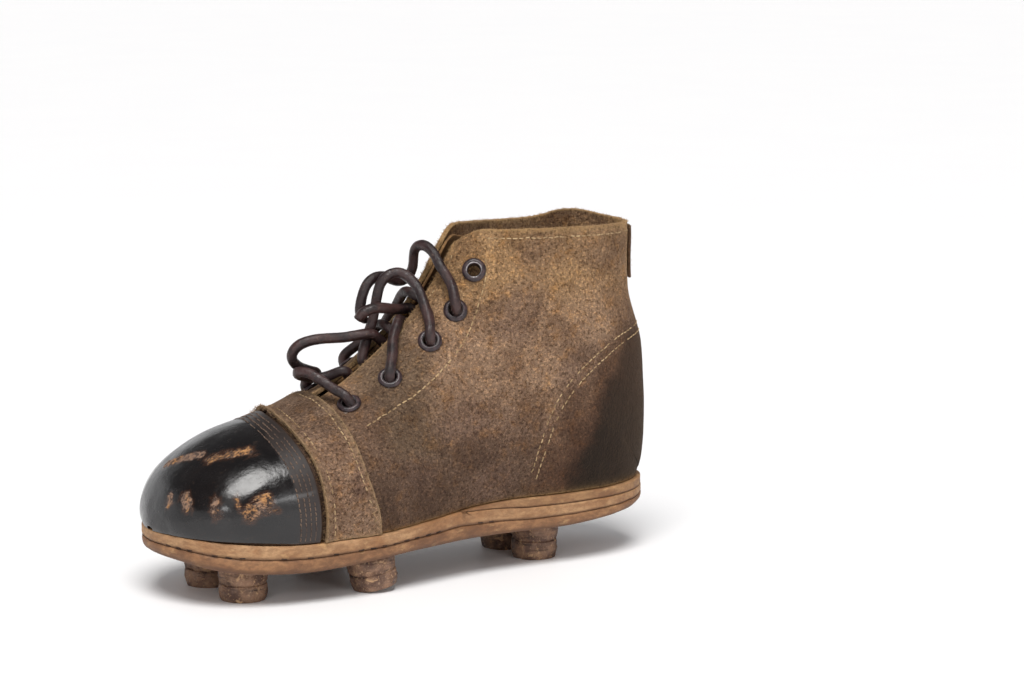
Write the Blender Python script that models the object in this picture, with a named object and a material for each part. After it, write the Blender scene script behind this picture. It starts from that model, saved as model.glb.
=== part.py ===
"""Old leather football boot (soccer cleat), the left one of a pair, as separate closed pieces.

Frame: +X runs from toe to heel, +Z is up, the outer side of the foot is at -Y, z = 0 is the ground.
Every size below is in millimetres and is turned into metres when a mesh is made.
"""
import math

import bmesh
import bpy
import numpy as np
from mathutils import Matrix, Vector
from mathutils.bvhtree import BVHTree

MM = 0.001

# ---------------------------------------------------------------- driving dimensions
CENTRE_X = 1.1                  # x of the middle of the sole, moved to the frame's origin
GAP = 0.3                       # clearance between pieces that touch
NEAR = -1
FAR = 1

LEATHER = 2.0                   # vamp, quarters and toe puff
CAP_THICK = 2.3
STRAP_THICK = 2.0
CAP_BASE = LEATHER + GAP        # inner face of the cap and of the strap above the last
STRAP_LIFT = 1.6                # how far the front edge of the strap curls up
STRAP_LIFT_SPAN = 0.3           # share of its width over which it curls

SOLE_TOE = -113.0
SOLE_HEEL = 114.0
SOLE_STATIONS = (-113, -109.5, -104, -96, -84, -70, -52, -32, -8, 18, 40, 62, 82, 98, 109, 114)
SOLE_NEAR = (0, 16, 26, 33, 39, 42, 43, 42, 37.5, 32, 30.5, 30.5, 29, 23.5, 14, 0)
SOLE_FAR = (0, 16, 26, 33, 38.5, 41, 41, 38, 31.5, 27.5, 27.5, 29, 28.5, 23.5, 14, 0)
SOLE_TOP_X = (-114, -108, -94, -64, -32, -4, 23, 40, 60, 90, 112)
SOLE_TOP_Z = (28.2, 28.0, 26.6, 24.6, 24.6, 26.6, 29.4, 30.0, 29.8, 30.0, 30.6)
SOLE_BOTTOM_X = (-114, -107, -97, -83, -63, -45, -12, 24, 57, 90, 112)
SOLE_BOTTOM_Z = (19.6, 18.0, 15.4, 13.9, 13.1, 13.8, 15.6, 16.1, 15.9, 18.0, 20.4)
WEDGE_START = 16.0
WEDGE_X = (16, 28, 45, 112)
WEDGE_THICK = (0.9, 2.2, 3.8, 3.6)
OUTSOLE_SHARE = 0.52            # share of the stack under the wedge that is outsole
SOLE_BEVEL = 1.5
FEATHER_SHARE = 0.88            # foot space half-width over sole half-width
INSOLE_THICK = 2.4

# The last, as planes across the boot that fan from the toe round to the collar. Each row holds the
# ridge point (x, z), the sole or back point (x, z), the widest half-width, how far up the section
# that is, how square the section is, and how far its middle bows towards the heel. Ahead of
# BACK_SEAM the foot of a section stands on the sole, whatever z its row gives.
LAST = (
    (-108.6, 29.6, -108.2, 28.9, 1.0, 0.30, 2.0, 0.0),
    (-107.0, 35.5, -105.5, 28.6, 14.0, 0.35, 2.2, 0.0),
    (-103.0, 43.5, -100.5, 28.2, 24.0, 0.35, 2.2, 0.5),
    (-93.5, 52.5, -92.0, 27.2, 32.5, 0.33, 2.3, 1.0),
    (-78.0, 60.5, -77.0, 26.0, 37.0, 0.30, 2.4, 2.0),
    (-58.5, 66.0, -58.5, 25.2, 38.8, 0.30, 2.3, 3.0),
    (-31.0, 78.0, -31.0, 25.2, 38.0, 0.25, 2.1, 0.0),
    (-13.0, 91.0, -8.0, 27.0, 34.0, 0.22, 2.0, 0.0),
    (1.5, 104.0, 22.0, 29.9, 31.0, 0.22, 1.95, 0.0),
    (9.5, 114.0, 52.0, 30.3, 30.0, 0.26, 1.95, 0.0),
    (14.0, 120.5, 82.0, 30.4, 29.5, 0.32, 2.0, 0.0),
    (17.0, 125.5, 109.8, 31.2, 28.5, 0.42, 2.05, 0.0),
    (19.0, 129.0, 113.6, 58.0, 26.5, 0.48, 2.1, 0.0),
    (21.0, 133.0, 112.8, 84.0, 23.0, 0.50, 2.2, 0.0),
    (23.0, 137.0, 106.5, 112.0, 19.5, 0.50, 2.4, 0.0),
    (25.0, 140.8, 105.6, 139.6, 17.8, 0.50, 2.6, 0.0),
)
CAP_END = 5.0                   # section number up to which the cap can reach
REAR_SHARES = (0.0, 0.18, 0.33, 0.60, 0.84, 1.0)        # shares of the way from the sole to the ridge
CAP_REAR = (5.02, 4.91, 4.85, 4.84, 4.89, 4.95)          # where the cap ends on the near side
CAP_REAR_FAR = (5.02, 5.02, 5.04, 5.10, 5.04, 4.95)      # and on the far side
PUFF_ROWS = 14                  # rows of the cap that the puff backs
VAMP_START = 4.5
STRAP_AHEAD = 0.075              # sections between the cap and the strap
STRAP_REAR_SHARES = (0.0, 0.1, 0.23, 0.35, 0.6, 1.0)
STRAP_REAR = (6.02, 5.99, 5.87, 5.76, 5.69, 5.66)
VAMP_END = 5.45
BACK_SEAM = 11.0                # section number from which both sides meet behind the heel
COLLAR = 15.0
LEVEL_SPAN = 12.0               # height over which the walls turn level towards the sole
QUARTER_ROWS = (5.465, 6.0, 6.5, 6.9, 7.3, 7.7, 8.1, 8.6, 9.1, 9.5, 9.85, 10.15, 10.4, 10.6, 10.76, 10.88,
                10.96, 11.0, 11.4, 11.9, 12.5, 13.1, 13.7, 14.3, 15.0)
THROAT_COLUMNS = (0.0, 5.0, 10.0, 15.0, 20.5)     # distances from the throat's edge
SIDE_COLUMNS = 9                # columns between those and the sole or back seam
MEDIAL_WAIST = 0.95             # the far side is this much narrower at the waist

# ---------------------------------------------------------------- throat, eyelets, tongue
THROAT_SECTIONS = (5.6, 7, 10, 15)
THROAT_HALF = (3.6, 4.0, 4.6, 5.6)      # half the opening between the quarters
EYELET_SECTIONS = (5.94, 6.90, 8.10, 9.45, 12.15)
EYELET_SET_BACKS = (14.5, 15.8, 15.0, 15.0, 12.8)       # from the facing's edge, along the leather
EYELET_HOLE_R = 2.6
EYELET_BARREL_R = 3.3
EYELET_FLANGE_R = 5.0
EYELET_CLINCH_R = 4.5
LEATHER_HOLE_R = 3.65
FACING_THICK = 1.2
FACING_ROWS = (1, 24)           # quarter rows that the facing backs
TONGUE_THICK = 1.8
TONGUE_DEPTH = 10.8             # inner face of the tongue below the last
TONGUE_START = 5.15
TONGUE_DROP = 5.75              # section by which the tongue has dropped to its depth
TONGUE_END = 9.0
TONGUE_HALF = 15.0

# ---------------------------------------------------------------- heel
HEEL_AXIS_X = 62.0
FOOT_MIDDLE_Z = 45.0            # a height inside the front of the boot
OFF_SEAM = 0.01                 # keeps level rays off the seam of the last
COUNTER_ANGLES = (0, 40, 60, 85, 105, 115, 121)
COUNTER_TOPS = (94, 91, 86, 76, 65, 54, 46)
COUNTER_THICK = 1.3
COUNTER_RISE = 4.5              # how far the counter stops above the insole
COUNTER_GAP = 1.6               # room between the counter and the quarters' faceted insides
STRIP_HALF = 6.0
STRIP_LOW = 115.0
STRIP_HIGH = 137.5
STRIP_THICK = 1.3
STRIP_STAND = 0.35              # how far the back strip stands off the quarters

# ---------------------------------------------------------------- studs
STUD_R_TOP = 10.2
STUD_R_FOOT = 9.6
STUDS = (                       # name, x, y, tilt in degrees
    ("front_near", -80.5, -17.0, 0.0),
    ("front_far", -81.5, 13.5, 0.0),
    ("middle_near", -30.0, -29.0, 11.0),
    ("middle_far", -26.0, 25.0, 4.0),
    ("heel_near", 58.5, -9.5, 0.0),
    ("heel_far", 57.0, 14.0, 0.0),
)
STUD_SIDES = 18
STUD_SPLIT = 0.5                # share of a stud that is its lower lift
NAIL_R = 0.85
NAIL_HEAD_R = 1.7
NAIL_HEAD = 0.8
NAIL_CIRCLE = 4.8
NAIL_BITE = 3.2                 # how far a nail enters the outsole

# ---------------------------------------------------------------- lace
LACE_R = 2.1
LOOP_A = ((-37.5, -14.6, 80.2), (-44.2, -4.0, 86.2), (-46.6, 0.4, 86.2), (-44.0, 5.0, 84.0), (-34.0, 4.2, 82.0))
LOOP_B = ((-31.0, 13.5, 82.0), (-41.5, 9.0, 86.2), (-46.8, 6.6, 91.2), (-45.0, 4.6, 96.0), (-38.6, 3.0, 98.2),
          (-25.0, 0.6, 98.6), (-13.0, -1.6, 99.4))
FRONT_LOOP = ((4.1, -6.8, 118.8), (-0.6, -1.4, 124.0), (-4.5, 0.0, 123.4), (-8.2, 1.2, 119.8),
              (-9.9, 2.0, 112.2), (-10.8, 3.2, 105.0), (-13.0, 3.4, 98.6), (-15.2, 2.0, 94.6))
BACK_LOOP = ((12.9, -4.5, 132.0), (11.3, 0.6, 134.4), (10.1, 5.6, 132.4), (11.0, 9.2, 123.6), (9.4, 11.8, 118.8),
             (4.6, 10.6, 118.3), (-4.0, 8.0, 121.6), (-11.0, 6.4, 120.0), (-14.4, 6.2, 113.5), (-15.2, 6.4, 106.6),
             (-11.8, 8.6, 103.6))
THONG_END = ((2.2, 1.6, 108.0), (-5.5, -1.4, 109.2), (-12.6, -3.2, 110.3), (-18.0, -2.6, 109.0), (-20.4, -1.2, 105.8))
UNDER = -6.0                    # lace centre under the facings, above the last
OVER = 5.6                      # lace centre as it leaves an eyelet
ON_EDGE = 4.6                   # lace centre where it crosses the edge of a facing


# ---------------------------------------------------------------- curves and surfaces
def smooth(xs, ys, x):
    """Monotone cubic through (xs, ys), read at x."""
    xs = np.asarray(xs, float)
    ys = np.asarray(ys, float)
    x = np.clip(np.asarray(x, float), xs[0], xs[-1])
    h = np.diff(xs)
    slope = np.diff(ys) / h
    m = np.zeros(len(xs))
    m[0] = slope[0]
    m[-1] = slope[-1]
    for i in range(1, len(xs) - 1):
        if slope[i - 1] * slope[i] > 0:
            w0 = 2 * h[i] + h[i - 1]
            w1 = h[i] + 2 * h[i - 1]
            m[i] = (w0 + w1) / (w0 / slope[i - 1] + w1 / slope[i])
    i = np.clip(np.searchsorted(xs, x) - 1, 0, len(h) - 1)
    t = (x - xs[i]) / h[i]
    a = (1 + 2 * t) * (1 - t) ** 2
    b = t * (1 - t) ** 2
    c = t * t * (3 - 2 * t)
    d = t * t * (t - 1)
    return a * ys[i] + b * h[i] * m[i] + c * ys[i + 1] + d * h[i] * m[i + 1]


def sole_half(x, side):
    """Half-width of the sole; squares are blended so that both ends come out round."""
    table = SOLE_NEAR if side == NEAR else SOLE_FAR
    return np.sqrt(np.maximum(smooth(SOLE_STATIONS, np.square(table), x), 0.0))


def sole_top(x):
    return smooth(SOLE_TOP_X, SOLE_TOP_Z, x)


def sole_bottom(x):
    return smooth(SOLE_BOTTOM_X, SOLE_BOTTOM_Z, x)


def wedge_thick(x):
    return smooth(WEDGE_X, WEDGE_THICK, x)


def feather_half(x, side):
    """Half-width of the foot space where it meets the sole."""
    toe = LAST[0][2]
    heel = LAST[11][2]
    share = np.clip((x - toe) / (heel - toe), 0.0, 1.0)
    return FEATHER_SHARE * sole_half(SOLE_TOE + share * (SOLE_HEEL - SOLE_TOE), side)


def last_value(column, u):
    return float(smooth(range(len(LAST)), [row[column] for row in LAST], u))


def section_curve(u, side, count=48):
    """Points of one side of section u, from the sole or back seam up to the ridge."""
    ridge = np.array([last_value(0, u), last_value(1, u)])
    base = np.array([last_value(2, u), last_value(3, u)])
    if u < BACK_SEAM:
        base[1] = float(sole_top(base[0])) + GAP
    widest = last_value(4, u)
    waist = last_value(5, u)
    square = last_value(6, u)
    bow = last_value(7, u)
    foot = 0.0
    if u < BACK_SEAM:
        foot = float(feather_half(base[0], side))
    if side == FAR:
        widest *= 1.0 + (MEDIAL_WAIST - 1.0) * math.exp(-((u - 7.5) / 1.6) ** 2)
    widest = max(widest, foot + 0.8)
    start = math.acos(foot / widest)
    low = np.linspace(start, 0.0, count // 3, endpoint=False)
    high = np.linspace(0.0, math.pi / 2, count - count // 3)
    rise = np.concatenate([waist * (1 - (np.sin(low) / math.sin(start)) ** (2 / square)),
                           waist + (1 - waist) * np.sin(high) ** (2 / square)])
    out = widest * np.cos(np.concatenate([low, high]))
    chord = ridge - base
    across = np.array([chord[1], -chord[0]]) / max(np.linalg.norm(chord), 1e-6)
    line = base + np.outer(rise, chord) + np.outer(bow * 4 * rise * (1 - rise), across)
    return np.column_stack([line[:, 0], side * out, line[:, 1]])


def arc_lengths(points):
    steps = np.linalg.norm(np.diff(points, axis=0), axis=1)
    return np.concatenate([[0.0], np.cumsum(steps)])


def along(points, lengths):
    """The points at the given arc lengths."""
    arc = arc_lengths(points)
    return np.column_stack([np.interp(lengths, arc, points[:, k]) for k in range(3)])


def throat_half(u):
    return float(smooth(THROAT_SECTIONS, THROAT_HALF, u))


def section_side(u, side, skip_low, skip_high, columns):
    """Evenly spaced points on one side, leaving out a length at the sole and one at the ridge."""
    curve = section_curve(u, side)
    total = arc_lengths(curve)[-1]
    return along(curve, np.linspace(skip_low, total - skip_high, columns))


def last_point(u, b, h):
    """A point on section u, |b| down from the ridge on b's side, h above the last."""
    side = NEAR if b < 0 else FAR

    def surface(uu, bb):
        curve = section_curve(uu, side, 90)
        total = arc_lengths(curve)[-1]
        return along(curve, [total - abs(bb)])[0]

    here = surface(u, b)
    du = surface(u + 0.02, b) - surface(u - 0.02, b)
    db = surface(u, abs(b) + 0.4) - surface(u, max(abs(b) - 0.4, 0.0))
    normal = np.cross(du, db) * side
    normal /= np.linalg.norm(normal)
    if abs(b) < 0.5:
        normal[1] = 0.0
        normal /= np.linalg.norm(normal)
    if normal @ (here - np.array([here[0] + 30.0, 0.0, here[2] - 30.0])) < 0:
        normal = -normal
    return here + normal * h, normal


def grid_normals(grid):
    """Unit normals of a grid of points, facing away from the inside of the boot."""
    du = np.gradient(grid, axis=0)
    dv = np.gradient(grid, axis=1)
    normals = np.cross(du, dv)
    size = np.linalg.norm(normals, axis=2, keepdims=True)
    normals = normals / np.maximum(size, 1e-9)
    middle = grid[grid.shape[0] // 2, grid.shape[1] // 2]
    if middle[0] < 0:
        inside = np.array([middle[0], 0.0, FOOT_MIDDLE_Z])
    else:
        inside = np.array([min(middle[0], HEEL_AXIS_X), 0.0, middle[2]])
    inward = inside - middle
    test = normals[grid.shape[0] // 2, grid.shape[1] // 2] @ inward
    return -normals if test > 0 else normals


def level_near_sole(grid, normals):
    """Take the downward lean out of the normals close to the sole, so that no shell dips into it."""
    above = np.clip((grid[..., 2] - sole_top(grid[..., 0])) / LEVEL_SPAN, 0, 1)
    keep = np.where(normals[..., 2] < 0, above, 1.0)
    made = normals.copy()
    made[..., 2] *= keep
    return made / np.linalg.norm(made, axis=2, keepdims=True)


# ---------------------------------------------------------------- scene and mesh helpers
def clear_scene():
    for item in list(bpy.data.objects):
        bpy.data.objects.remove(item, do_unlink=True)


def new_collection(name):
    made = bpy.data.collections.new(name)
    bpy.context.scene.collection.children.link(made)
    return made


def material(name, colour, rough, metal=0.0):
    made = bpy.data.materials.new(name)
    made.use_nodes = True
    shader = made.node_tree.nodes["Principled BSDF"]
    shader.inputs["Base Color"].default_value = (*colour, 1.0)
    shader.inputs["Roughness"].default_value = rough
    shader.inputs["Metallic"].default_value = metal
    return made


def place(name, points, faces, where, skin, origin=(0.0, 0.0, 0.0)):
    """One object from points in boot millimetres, with its origin at a boot point."""
    shift = np.array([CENTRE_X, 0.0, 0.0])
    origin = np.array(origin, float)
    mesh = bpy.data.meshes.new(name)
    local = (np.asarray(points, float) - origin) * MM
    mesh.from_pydata([tuple(p) for p in local], [], [tuple(f) for f in faces])
    mesh.validate()
    thing = bpy.data.objects.new(name, mesh)
    thing.location = Vector((origin - shift) * MM)
    where.objects.link(thing)
    if skin is not None:
        mesh.materials.append(skin)
    face_outwards(mesh)
    return thing


def face_outwards(mesh):
    work = bmesh.new()
    work.from_mesh(mesh)
    bmesh.ops.recalc_face_normals(work, faces=work.faces)
    work.to_mesh(mesh)
    work.free()


def shell_faces(rows, columns):
    """Faces of a closed shell made of an inner grid followed by an outer grid."""
    size = rows * columns

    def at(layer, r, c):
        return layer * size + r * columns + c

    faces = []
    for r in range(rows - 1):
        for c in range(columns - 1):
            faces.append((at(0, r, c), at(0, r, c + 1), at(0, r + 1, c + 1), at(0, r + 1, c)))
            faces.append((at(1, r, c), at(1, r + 1, c), at(1, r + 1, c + 1), at(1, r, c + 1)))
    for r in range(rows - 1):
        for c in (0, columns - 1):
            faces.append((at(0, r, c), at(0, r + 1, c), at(1, r + 1, c), at(1, r, c)))
    for c in range(columns - 1):
        for r in (0, rows - 1):
            faces.append((at(0, r, c), at(0, r, c + 1), at(1, r, c + 1), at(1, r, c)))
    return faces


def leather_piece(name, grid, low, high, where, skin, origin=(0.0, 0.0, 0.0)):
    """A leather shell over a grid on the last, from height low to height high above it."""
    normals = level_near_sole(grid, grid_normals(grid))
    low = np.broadcast_to(np.asarray(low, float), grid.shape[:2])
    high = np.broadcast_to(np.asarray(high, float), grid.shape[:2])
    inner = grid + normals * low[..., None]
    outer = grid + normals * high[..., None]
    for layer in (inner, outer):
        layer[..., 2] = np.maximum(layer[..., 2], sole_top(layer[..., 0]) + GAP)
    points = np.concatenate([inner.reshape(-1, 3), outer.reshape(-1, 3)])
    return place(name, points, shell_faces(*grid.shape[:2]), where, skin, origin)


def lathe(name, profile, sides, where, skin, matrix):
    """A closed ring or solid turned from (radius, z) points in millimetres about local Z."""
    work = bmesh.new()
    rings = []
    for radius, z in profile:
        if radius == 0:
            rings.append([work.verts.new((0.0, 0.0, z * MM))])
            continue
        ring = []
        for k in range(sides):
            a = 2 * math.pi * k / sides
            ring.append(work.verts.new((radius * math.cos(a) * MM, radius * math.sin(a) * MM, z * MM)))
        rings.append(ring)
    closed = profile[0][0] > 0
    pairs = list(zip(rings, rings[1:] + ([rings[0]] if closed else [])))
    for a, b in pairs:
        for k in range(sides):
            j = (k + 1) % sides
            corners = [a[k % len(a)], a[j % len(a)], b[j % len(b)], b[k % len(b)]]
            unique = list(dict.fromkeys(corners))
            if len(unique) > 2:
                work.faces.new(unique)
    bmesh.ops.recalc_face_normals(work, faces=work.faces)
    mesh = bpy.data.meshes.new(name)
    work.to_mesh(mesh)
    work.free()
    if skin is not None:
        mesh.materials.append(skin)
    thing = bpy.data.objects.new(name, mesh)
    thing.matrix_world = matrix
    where.objects.link(thing)
    return thing


def frame_at(point, axis):
    """A matrix at a boot point with local Z along axis."""
    turn = Vector(axis).to_track_quat("Z", "Y").to_matrix().to_4x4()
    here = Vector(((point[0] - CENTRE_X) * MM, point[1] * MM, point[2] * MM))
    return Matrix.Translation(here) @ turn


def cut(target, cutter):
    step = target.modifiers.new("cut_" + cutter.name, "BOOLEAN")
    step.operation = "DIFFERENCE"
    step.solver = "EXACT"
    step.object = cutter


def as_cutter(thing):
    thing.hide_render = True
    thing.display_type = "WIRE"
    return thing


def merged(name, things, where):
    """One cutter from several apart from each other, in world coordinates."""
    work = bmesh.new()
    for thing in things:
        before = len(work.verts)
        work.from_mesh(thing.data)
        work.verts.ensure_lookup_table()
        bmesh.ops.transform(work, matrix=thing.matrix_world, verts=work.verts[before:])
    mesh = bpy.data.meshes.new(name)
    work.to_mesh(mesh)
    work.free()
    for thing in things:
        bpy.data.objects.remove(thing, do_unlink=True)
    made = bpy.data.objects.new(name, mesh)
    where.objects.link(made)
    return as_cutter(made)


# ---------------------------------------------------------------- sole
def sole_layer(name, start, end, low, high, inset, bevel, stations, where, skin):
    """A sole layer between two heights that are functions of x; its lower edge may be bevelled."""
    ease = (1 - np.cos(np.linspace(0.06, math.pi - 0.06, stations))) / 2
    points = []
    for x in start + (end - start) * ease:
        near = max(float(sole_half(x, NEAR)) - inset, 0.9)
        far = max(float(sole_half(x, FAR)) - inset, 0.9)
        tuck = min(bevel, 0.6 * near)
        lip = min(bevel, 0.45 * (high(x) - low(x)))
        ring = [(-near, high(x)), (0.0, high(x)), (far, high(x)), (far, low(x) + lip)]
        ring += [(far - tuck, low(x)), (0.0, low(x)), (-near + tuck, low(x)), (-near, low(x) + lip)]
        points += [(x, y, z) for y, z in ring]
    faces = []
    for i in range(stations - 1):
        for k in range(8):
            j = (k + 1) % 8
            faces.append((8 * i + k, 8 * i + j, 8 * (i + 1) + j, 8 * (i + 1) + k))
    faces.append(tuple(range(8)))
    faces.append(tuple(range(8 * (stations - 1), 8 * stations)))
    return place(name, points, faces, where, skin)


def wedge_share(x):
    """How much height the heel wedge and its clearance take at x."""
    if x < WEDGE_START - 6:
        return 0.0
    if x < WEDGE_START:
        return (x - WEDGE_START + 6) / 6 * (float(wedge_thick(WEDGE_START)) + GAP)
    return float(wedge_thick(x)) + GAP


def outsole_top(x):
    stack = sole_top(x) - wedge_share(x) - sole_bottom(x)
    return float(sole_bottom(x) + OUTSOLE_SHARE * (stack - GAP))


def midsole_top(x):
    return float(sole_top(x)) - wedge_share(x)


def make_soles(where, skins):
    outsole = sole_layer("outsole", SOLE_TOE, SOLE_HEEL, sole_bottom, outsole_top,
                         0.0, SOLE_BEVEL, 40, where, skins["sole"])
    sole_layer("midsole", SOLE_TOE + 0.3, SOLE_HEEL - 0.3, lambda x: outsole_top(x) + GAP, midsole_top,
               0.3, 0.5, 40, where, skins["midsole"])
    sole_layer("heel_wedge", WEDGE_START, SOLE_HEEL - 0.5, lambda x: midsole_top(x) + GAP, sole_top,
               0.5, 0.3, 22, where, skins["wedge"])
    make_insole(where, skins["insole"])
    return outsole


def make_insole(where, skin):
    """The insole lies on the sole stack inside the upper, clear of it all round."""
    stations = 30
    ease = (1 - np.cos(np.linspace(0.1, math.pi - 0.1, stations))) / 2
    toe = LAST[0][2] + 1.0
    heel = LAST[11][2] - 2.4
    points = []
    for x in toe + (heel - toe) * ease:
        low = float(sole_top(x)) + GAP
        near = max(float(feather_half(x, NEAR)) - 1.3, 0.6)
        far = max(float(feather_half(x, FAR)) - 1.3, 0.6)
        ring = [(-near, low + INSOLE_THICK), (0.0, low + INSOLE_THICK), (far, low + INSOLE_THICK)]
        ring += [(far, low), (0.0, low), (-near, low)]
        points += [(x, y, z) for y, z in ring]
    faces = []
    for i in range(stations - 1):
        for k in range(6):
            j = (k + 1) % 6
            faces.append((6 * i + k, 6 * i + j, 6 * (i + 1) + j, 6 * (i + 1) + k))
    faces.append(tuple(range(6)))
    faces.append(tuple(range(6 * (stations - 1), 6 * stations)))
    place("insole", points, faces, where, skin)


# ---------------------------------------------------------------- studs
def stud_frame(x, y, tilt):
    """Matrix of a stud: origin on its axis at the sole's underside, local Z up the axis."""
    top = float(sole_bottom(x)) - GAP
    turn = Matrix.Rotation(math.radians(-tilt), 4, "Y")
    return Matrix.Translation(Vector(((x - CENTRE_X) * MM, y * MM, top * MM))) @ turn


def stud_height(x, tilt):
    """Axis length that leaves the lowest edge of the foot on the ground."""
    lean = math.radians(tilt)
    return (float(sole_bottom(x)) - GAP - STUD_R_FOOT * math.sin(lean)) / math.cos(lean)


def lift(name, matrix, top, bottom, r_top, r_bottom, where, skin):
    """One leather disc of a stud between two local heights, with a worn, rounded lower edge."""
    profile = [(0, top), (r_top, top), (r_bottom, bottom + 0.5), (r_bottom - 0.5, bottom), (0, bottom)]
    return lathe(name, profile, STUD_SIDES, where, skin, matrix)


def follow_sole(thing):
    """Slope the top face of a stud so that it lies along the underside of the sole."""
    top = max(v.co.z for v in thing.data.vertices)
    for v in thing.data.vertices:
        if v.co.z > top - 0.01 * MM:
            world = thing.matrix_world @ v.co
            wanted = (float(sole_bottom(world.x / MM + CENTRE_X)) - GAP) * MM
            v.co.z += wanted - world.z


def nail_and_cutter(name, matrix, offset, height, where, cutters, skin):
    """A headed nail from the foot of the stud into the outsole, and the hole it needs."""
    here = matrix @ Matrix.Translation(Vector((offset[0] * MM, offset[1] * MM, 0.0)))
    foot = -height + 0.35
    tip = NAIL_BITE
    profile = [(0, foot), (NAIL_HEAD_R, foot), (NAIL_HEAD_R, foot + NAIL_HEAD)]
    profile += [(NAIL_R, foot + NAIL_HEAD), (NAIL_R, tip - 1.5), (0, tip)]
    lathe(name, profile, 8, where, skin, here)
    wide = NAIL_HEAD_R + GAP
    bore = NAIL_R + GAP
    step = foot + NAIL_HEAD + GAP
    below = -height - 2
    hole = [(0, below), (wide, below), (wide, step), (bore, step), (bore, tip + GAP), (0, tip + GAP)]
    return lathe(name + "_hole", hole, 8, cutters, None, here)


def make_stud(label, x, y, tilt, where, cutters, skins):
    matrix = stud_frame(x, y, tilt)
    height = stud_height(x, tilt)
    split = -height * (1 - STUD_SPLIT)
    r_split = STUD_R_TOP + (STUD_R_FOOT - STUD_R_TOP) * (1 - STUD_SPLIT)
    upper = lift("stud_" + label + "_upper", matrix, 0.0, split + GAP / 2, STUD_R_TOP, r_split + 0.2,
                 where, skins["stud"])
    follow_sole(upper)
    lower = lift("stud_" + label + "_lower", matrix, split - GAP / 2, -height, r_split, STUD_R_FOOT,
                 where, skins["stud"])
    holes = []
    for k in range(3):
        a = math.radians(90 + 120 * k)
        offset = (NAIL_CIRCLE * math.cos(a), NAIL_CIRCLE * math.sin(a))
        nail = "nail_%s_%d" % (label, k + 1)
        holes.append(nail_and_cutter(nail, matrix, offset, height, where, cutters, skins["nail"]))
    cutter = merged("holes_" + label, holes, cutters)
    cut(upper, cutter)
    cut(lower, cutter)
    return cutter


# ---------------------------------------------------------------- upper
def rows_between(start, end, count, crowd=0.0):
    """Section numbers from start to end; crowd above 0 packs them towards the start."""
    t = np.linspace(0, 1, count)
    return start + (end - start) * (t * (1 - crowd) + crowd * t * t)


def arch_grid(us, columns):
    """Sections from the near feather over the ridge to the far feather."""
    grid = []
    for u in us:
        near = section_side(u, NEAR, 0.0, 0.0, columns)
        far = section_side(u, FAR, 0.0, 0.0, columns)
        grid.append(np.concatenate([near, far[::-1][1:]]))
    return np.array(grid)


def cap_end(side, share):
    """The section the cap ends at, for a share of the way from the sole to the ridge."""
    return float(smooth(REAR_SHARES, CAP_REAR if side == NEAR else CAP_REAR_FAR, share))


def cap_grid(rows, columns):
    """The cap from the toe to its curved rear edge."""
    us = rows_between(0.02, CAP_END, rows, 0.25)
    grid = np.zeros((rows, 2 * columns - 1, 3))
    for c in range(columns):
        near_rear = cap_end(NEAR, c / (columns - 1))
        far_rear = cap_end(FAR, c / (columns - 1))
        for r, u in enumerate(us):
            back = (u / CAP_END) ** 3
            grid[r, c] = section_side(u + (near_rear - CAP_END) * back, NEAR, 0.0, 0.0, columns)[c]
            grid[r, -1 - c] = section_side(u + (far_rear - CAP_END) * back, FAR, 0.0, 0.0, columns)[c]
    return grid


def make_cap(where, skins):
    grid = cap_grid(16, 13)
    leather_piece("toe_cap", grid, CAP_BASE, CAP_BASE + CAP_THICK, where, skins["cap"])
    leather_piece("toe_puff", grid[2:PUFF_ROWS, 1:-1], 0.0, LEATHER, where, skins["puff"])


def make_vamp(where, skins):
    us = rows_between(VAMP_START, VAMP_END, 6)
    leather_piece("vamp", arch_grid(us, 11), 0.0, LEATHER, where, skins["suede"])


def make_strap(where, skins):
    shares = np.linspace(0, 1, 8)
    half = 14
    grid = np.zeros((len(shares), 2 * half - 1, 3))
    for c in range(half):
        near_start = cap_end(NEAR, c / (half - 1)) + STRAP_AHEAD
        far_start = cap_end(FAR, c / (half - 1)) + STRAP_AHEAD
        end = float(smooth(STRAP_REAR_SHARES, STRAP_REAR, c / (half - 1)))
        for r, share in enumerate(shares):
            near_u = near_start + (end - near_start) * share
            far_u = far_start + (end - far_start) * share
            grid[r, c] = section_side(near_u, NEAR, 0.0, 0.0, half)[c]
            grid[r, -1 - c] = section_side(far_u, FAR, 0.0, 0.0, half)[c]
    curl = STRAP_LIFT * np.clip(1 - shares / STRAP_LIFT_SPAN, 0, 1) ** 2
    low = np.repeat((CAP_BASE + curl)[:, None], grid.shape[1], axis=1)
    leather_piece("instep_strap", grid, low, low + STRAP_THICK, where, skins["strap"])


def collar_dip(v, side):
    """How many sections short of the collar a column stops, to round the collar's front corner."""
    corner = max(v - 0.86, 0.0) / 0.14
    wave = 0.0
    if side == FAR:
        wave = -0.9 * math.exp(-((v - 0.22) / 0.13) ** 2)
    return 1.5 * corner ** 2 + wave


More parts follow.
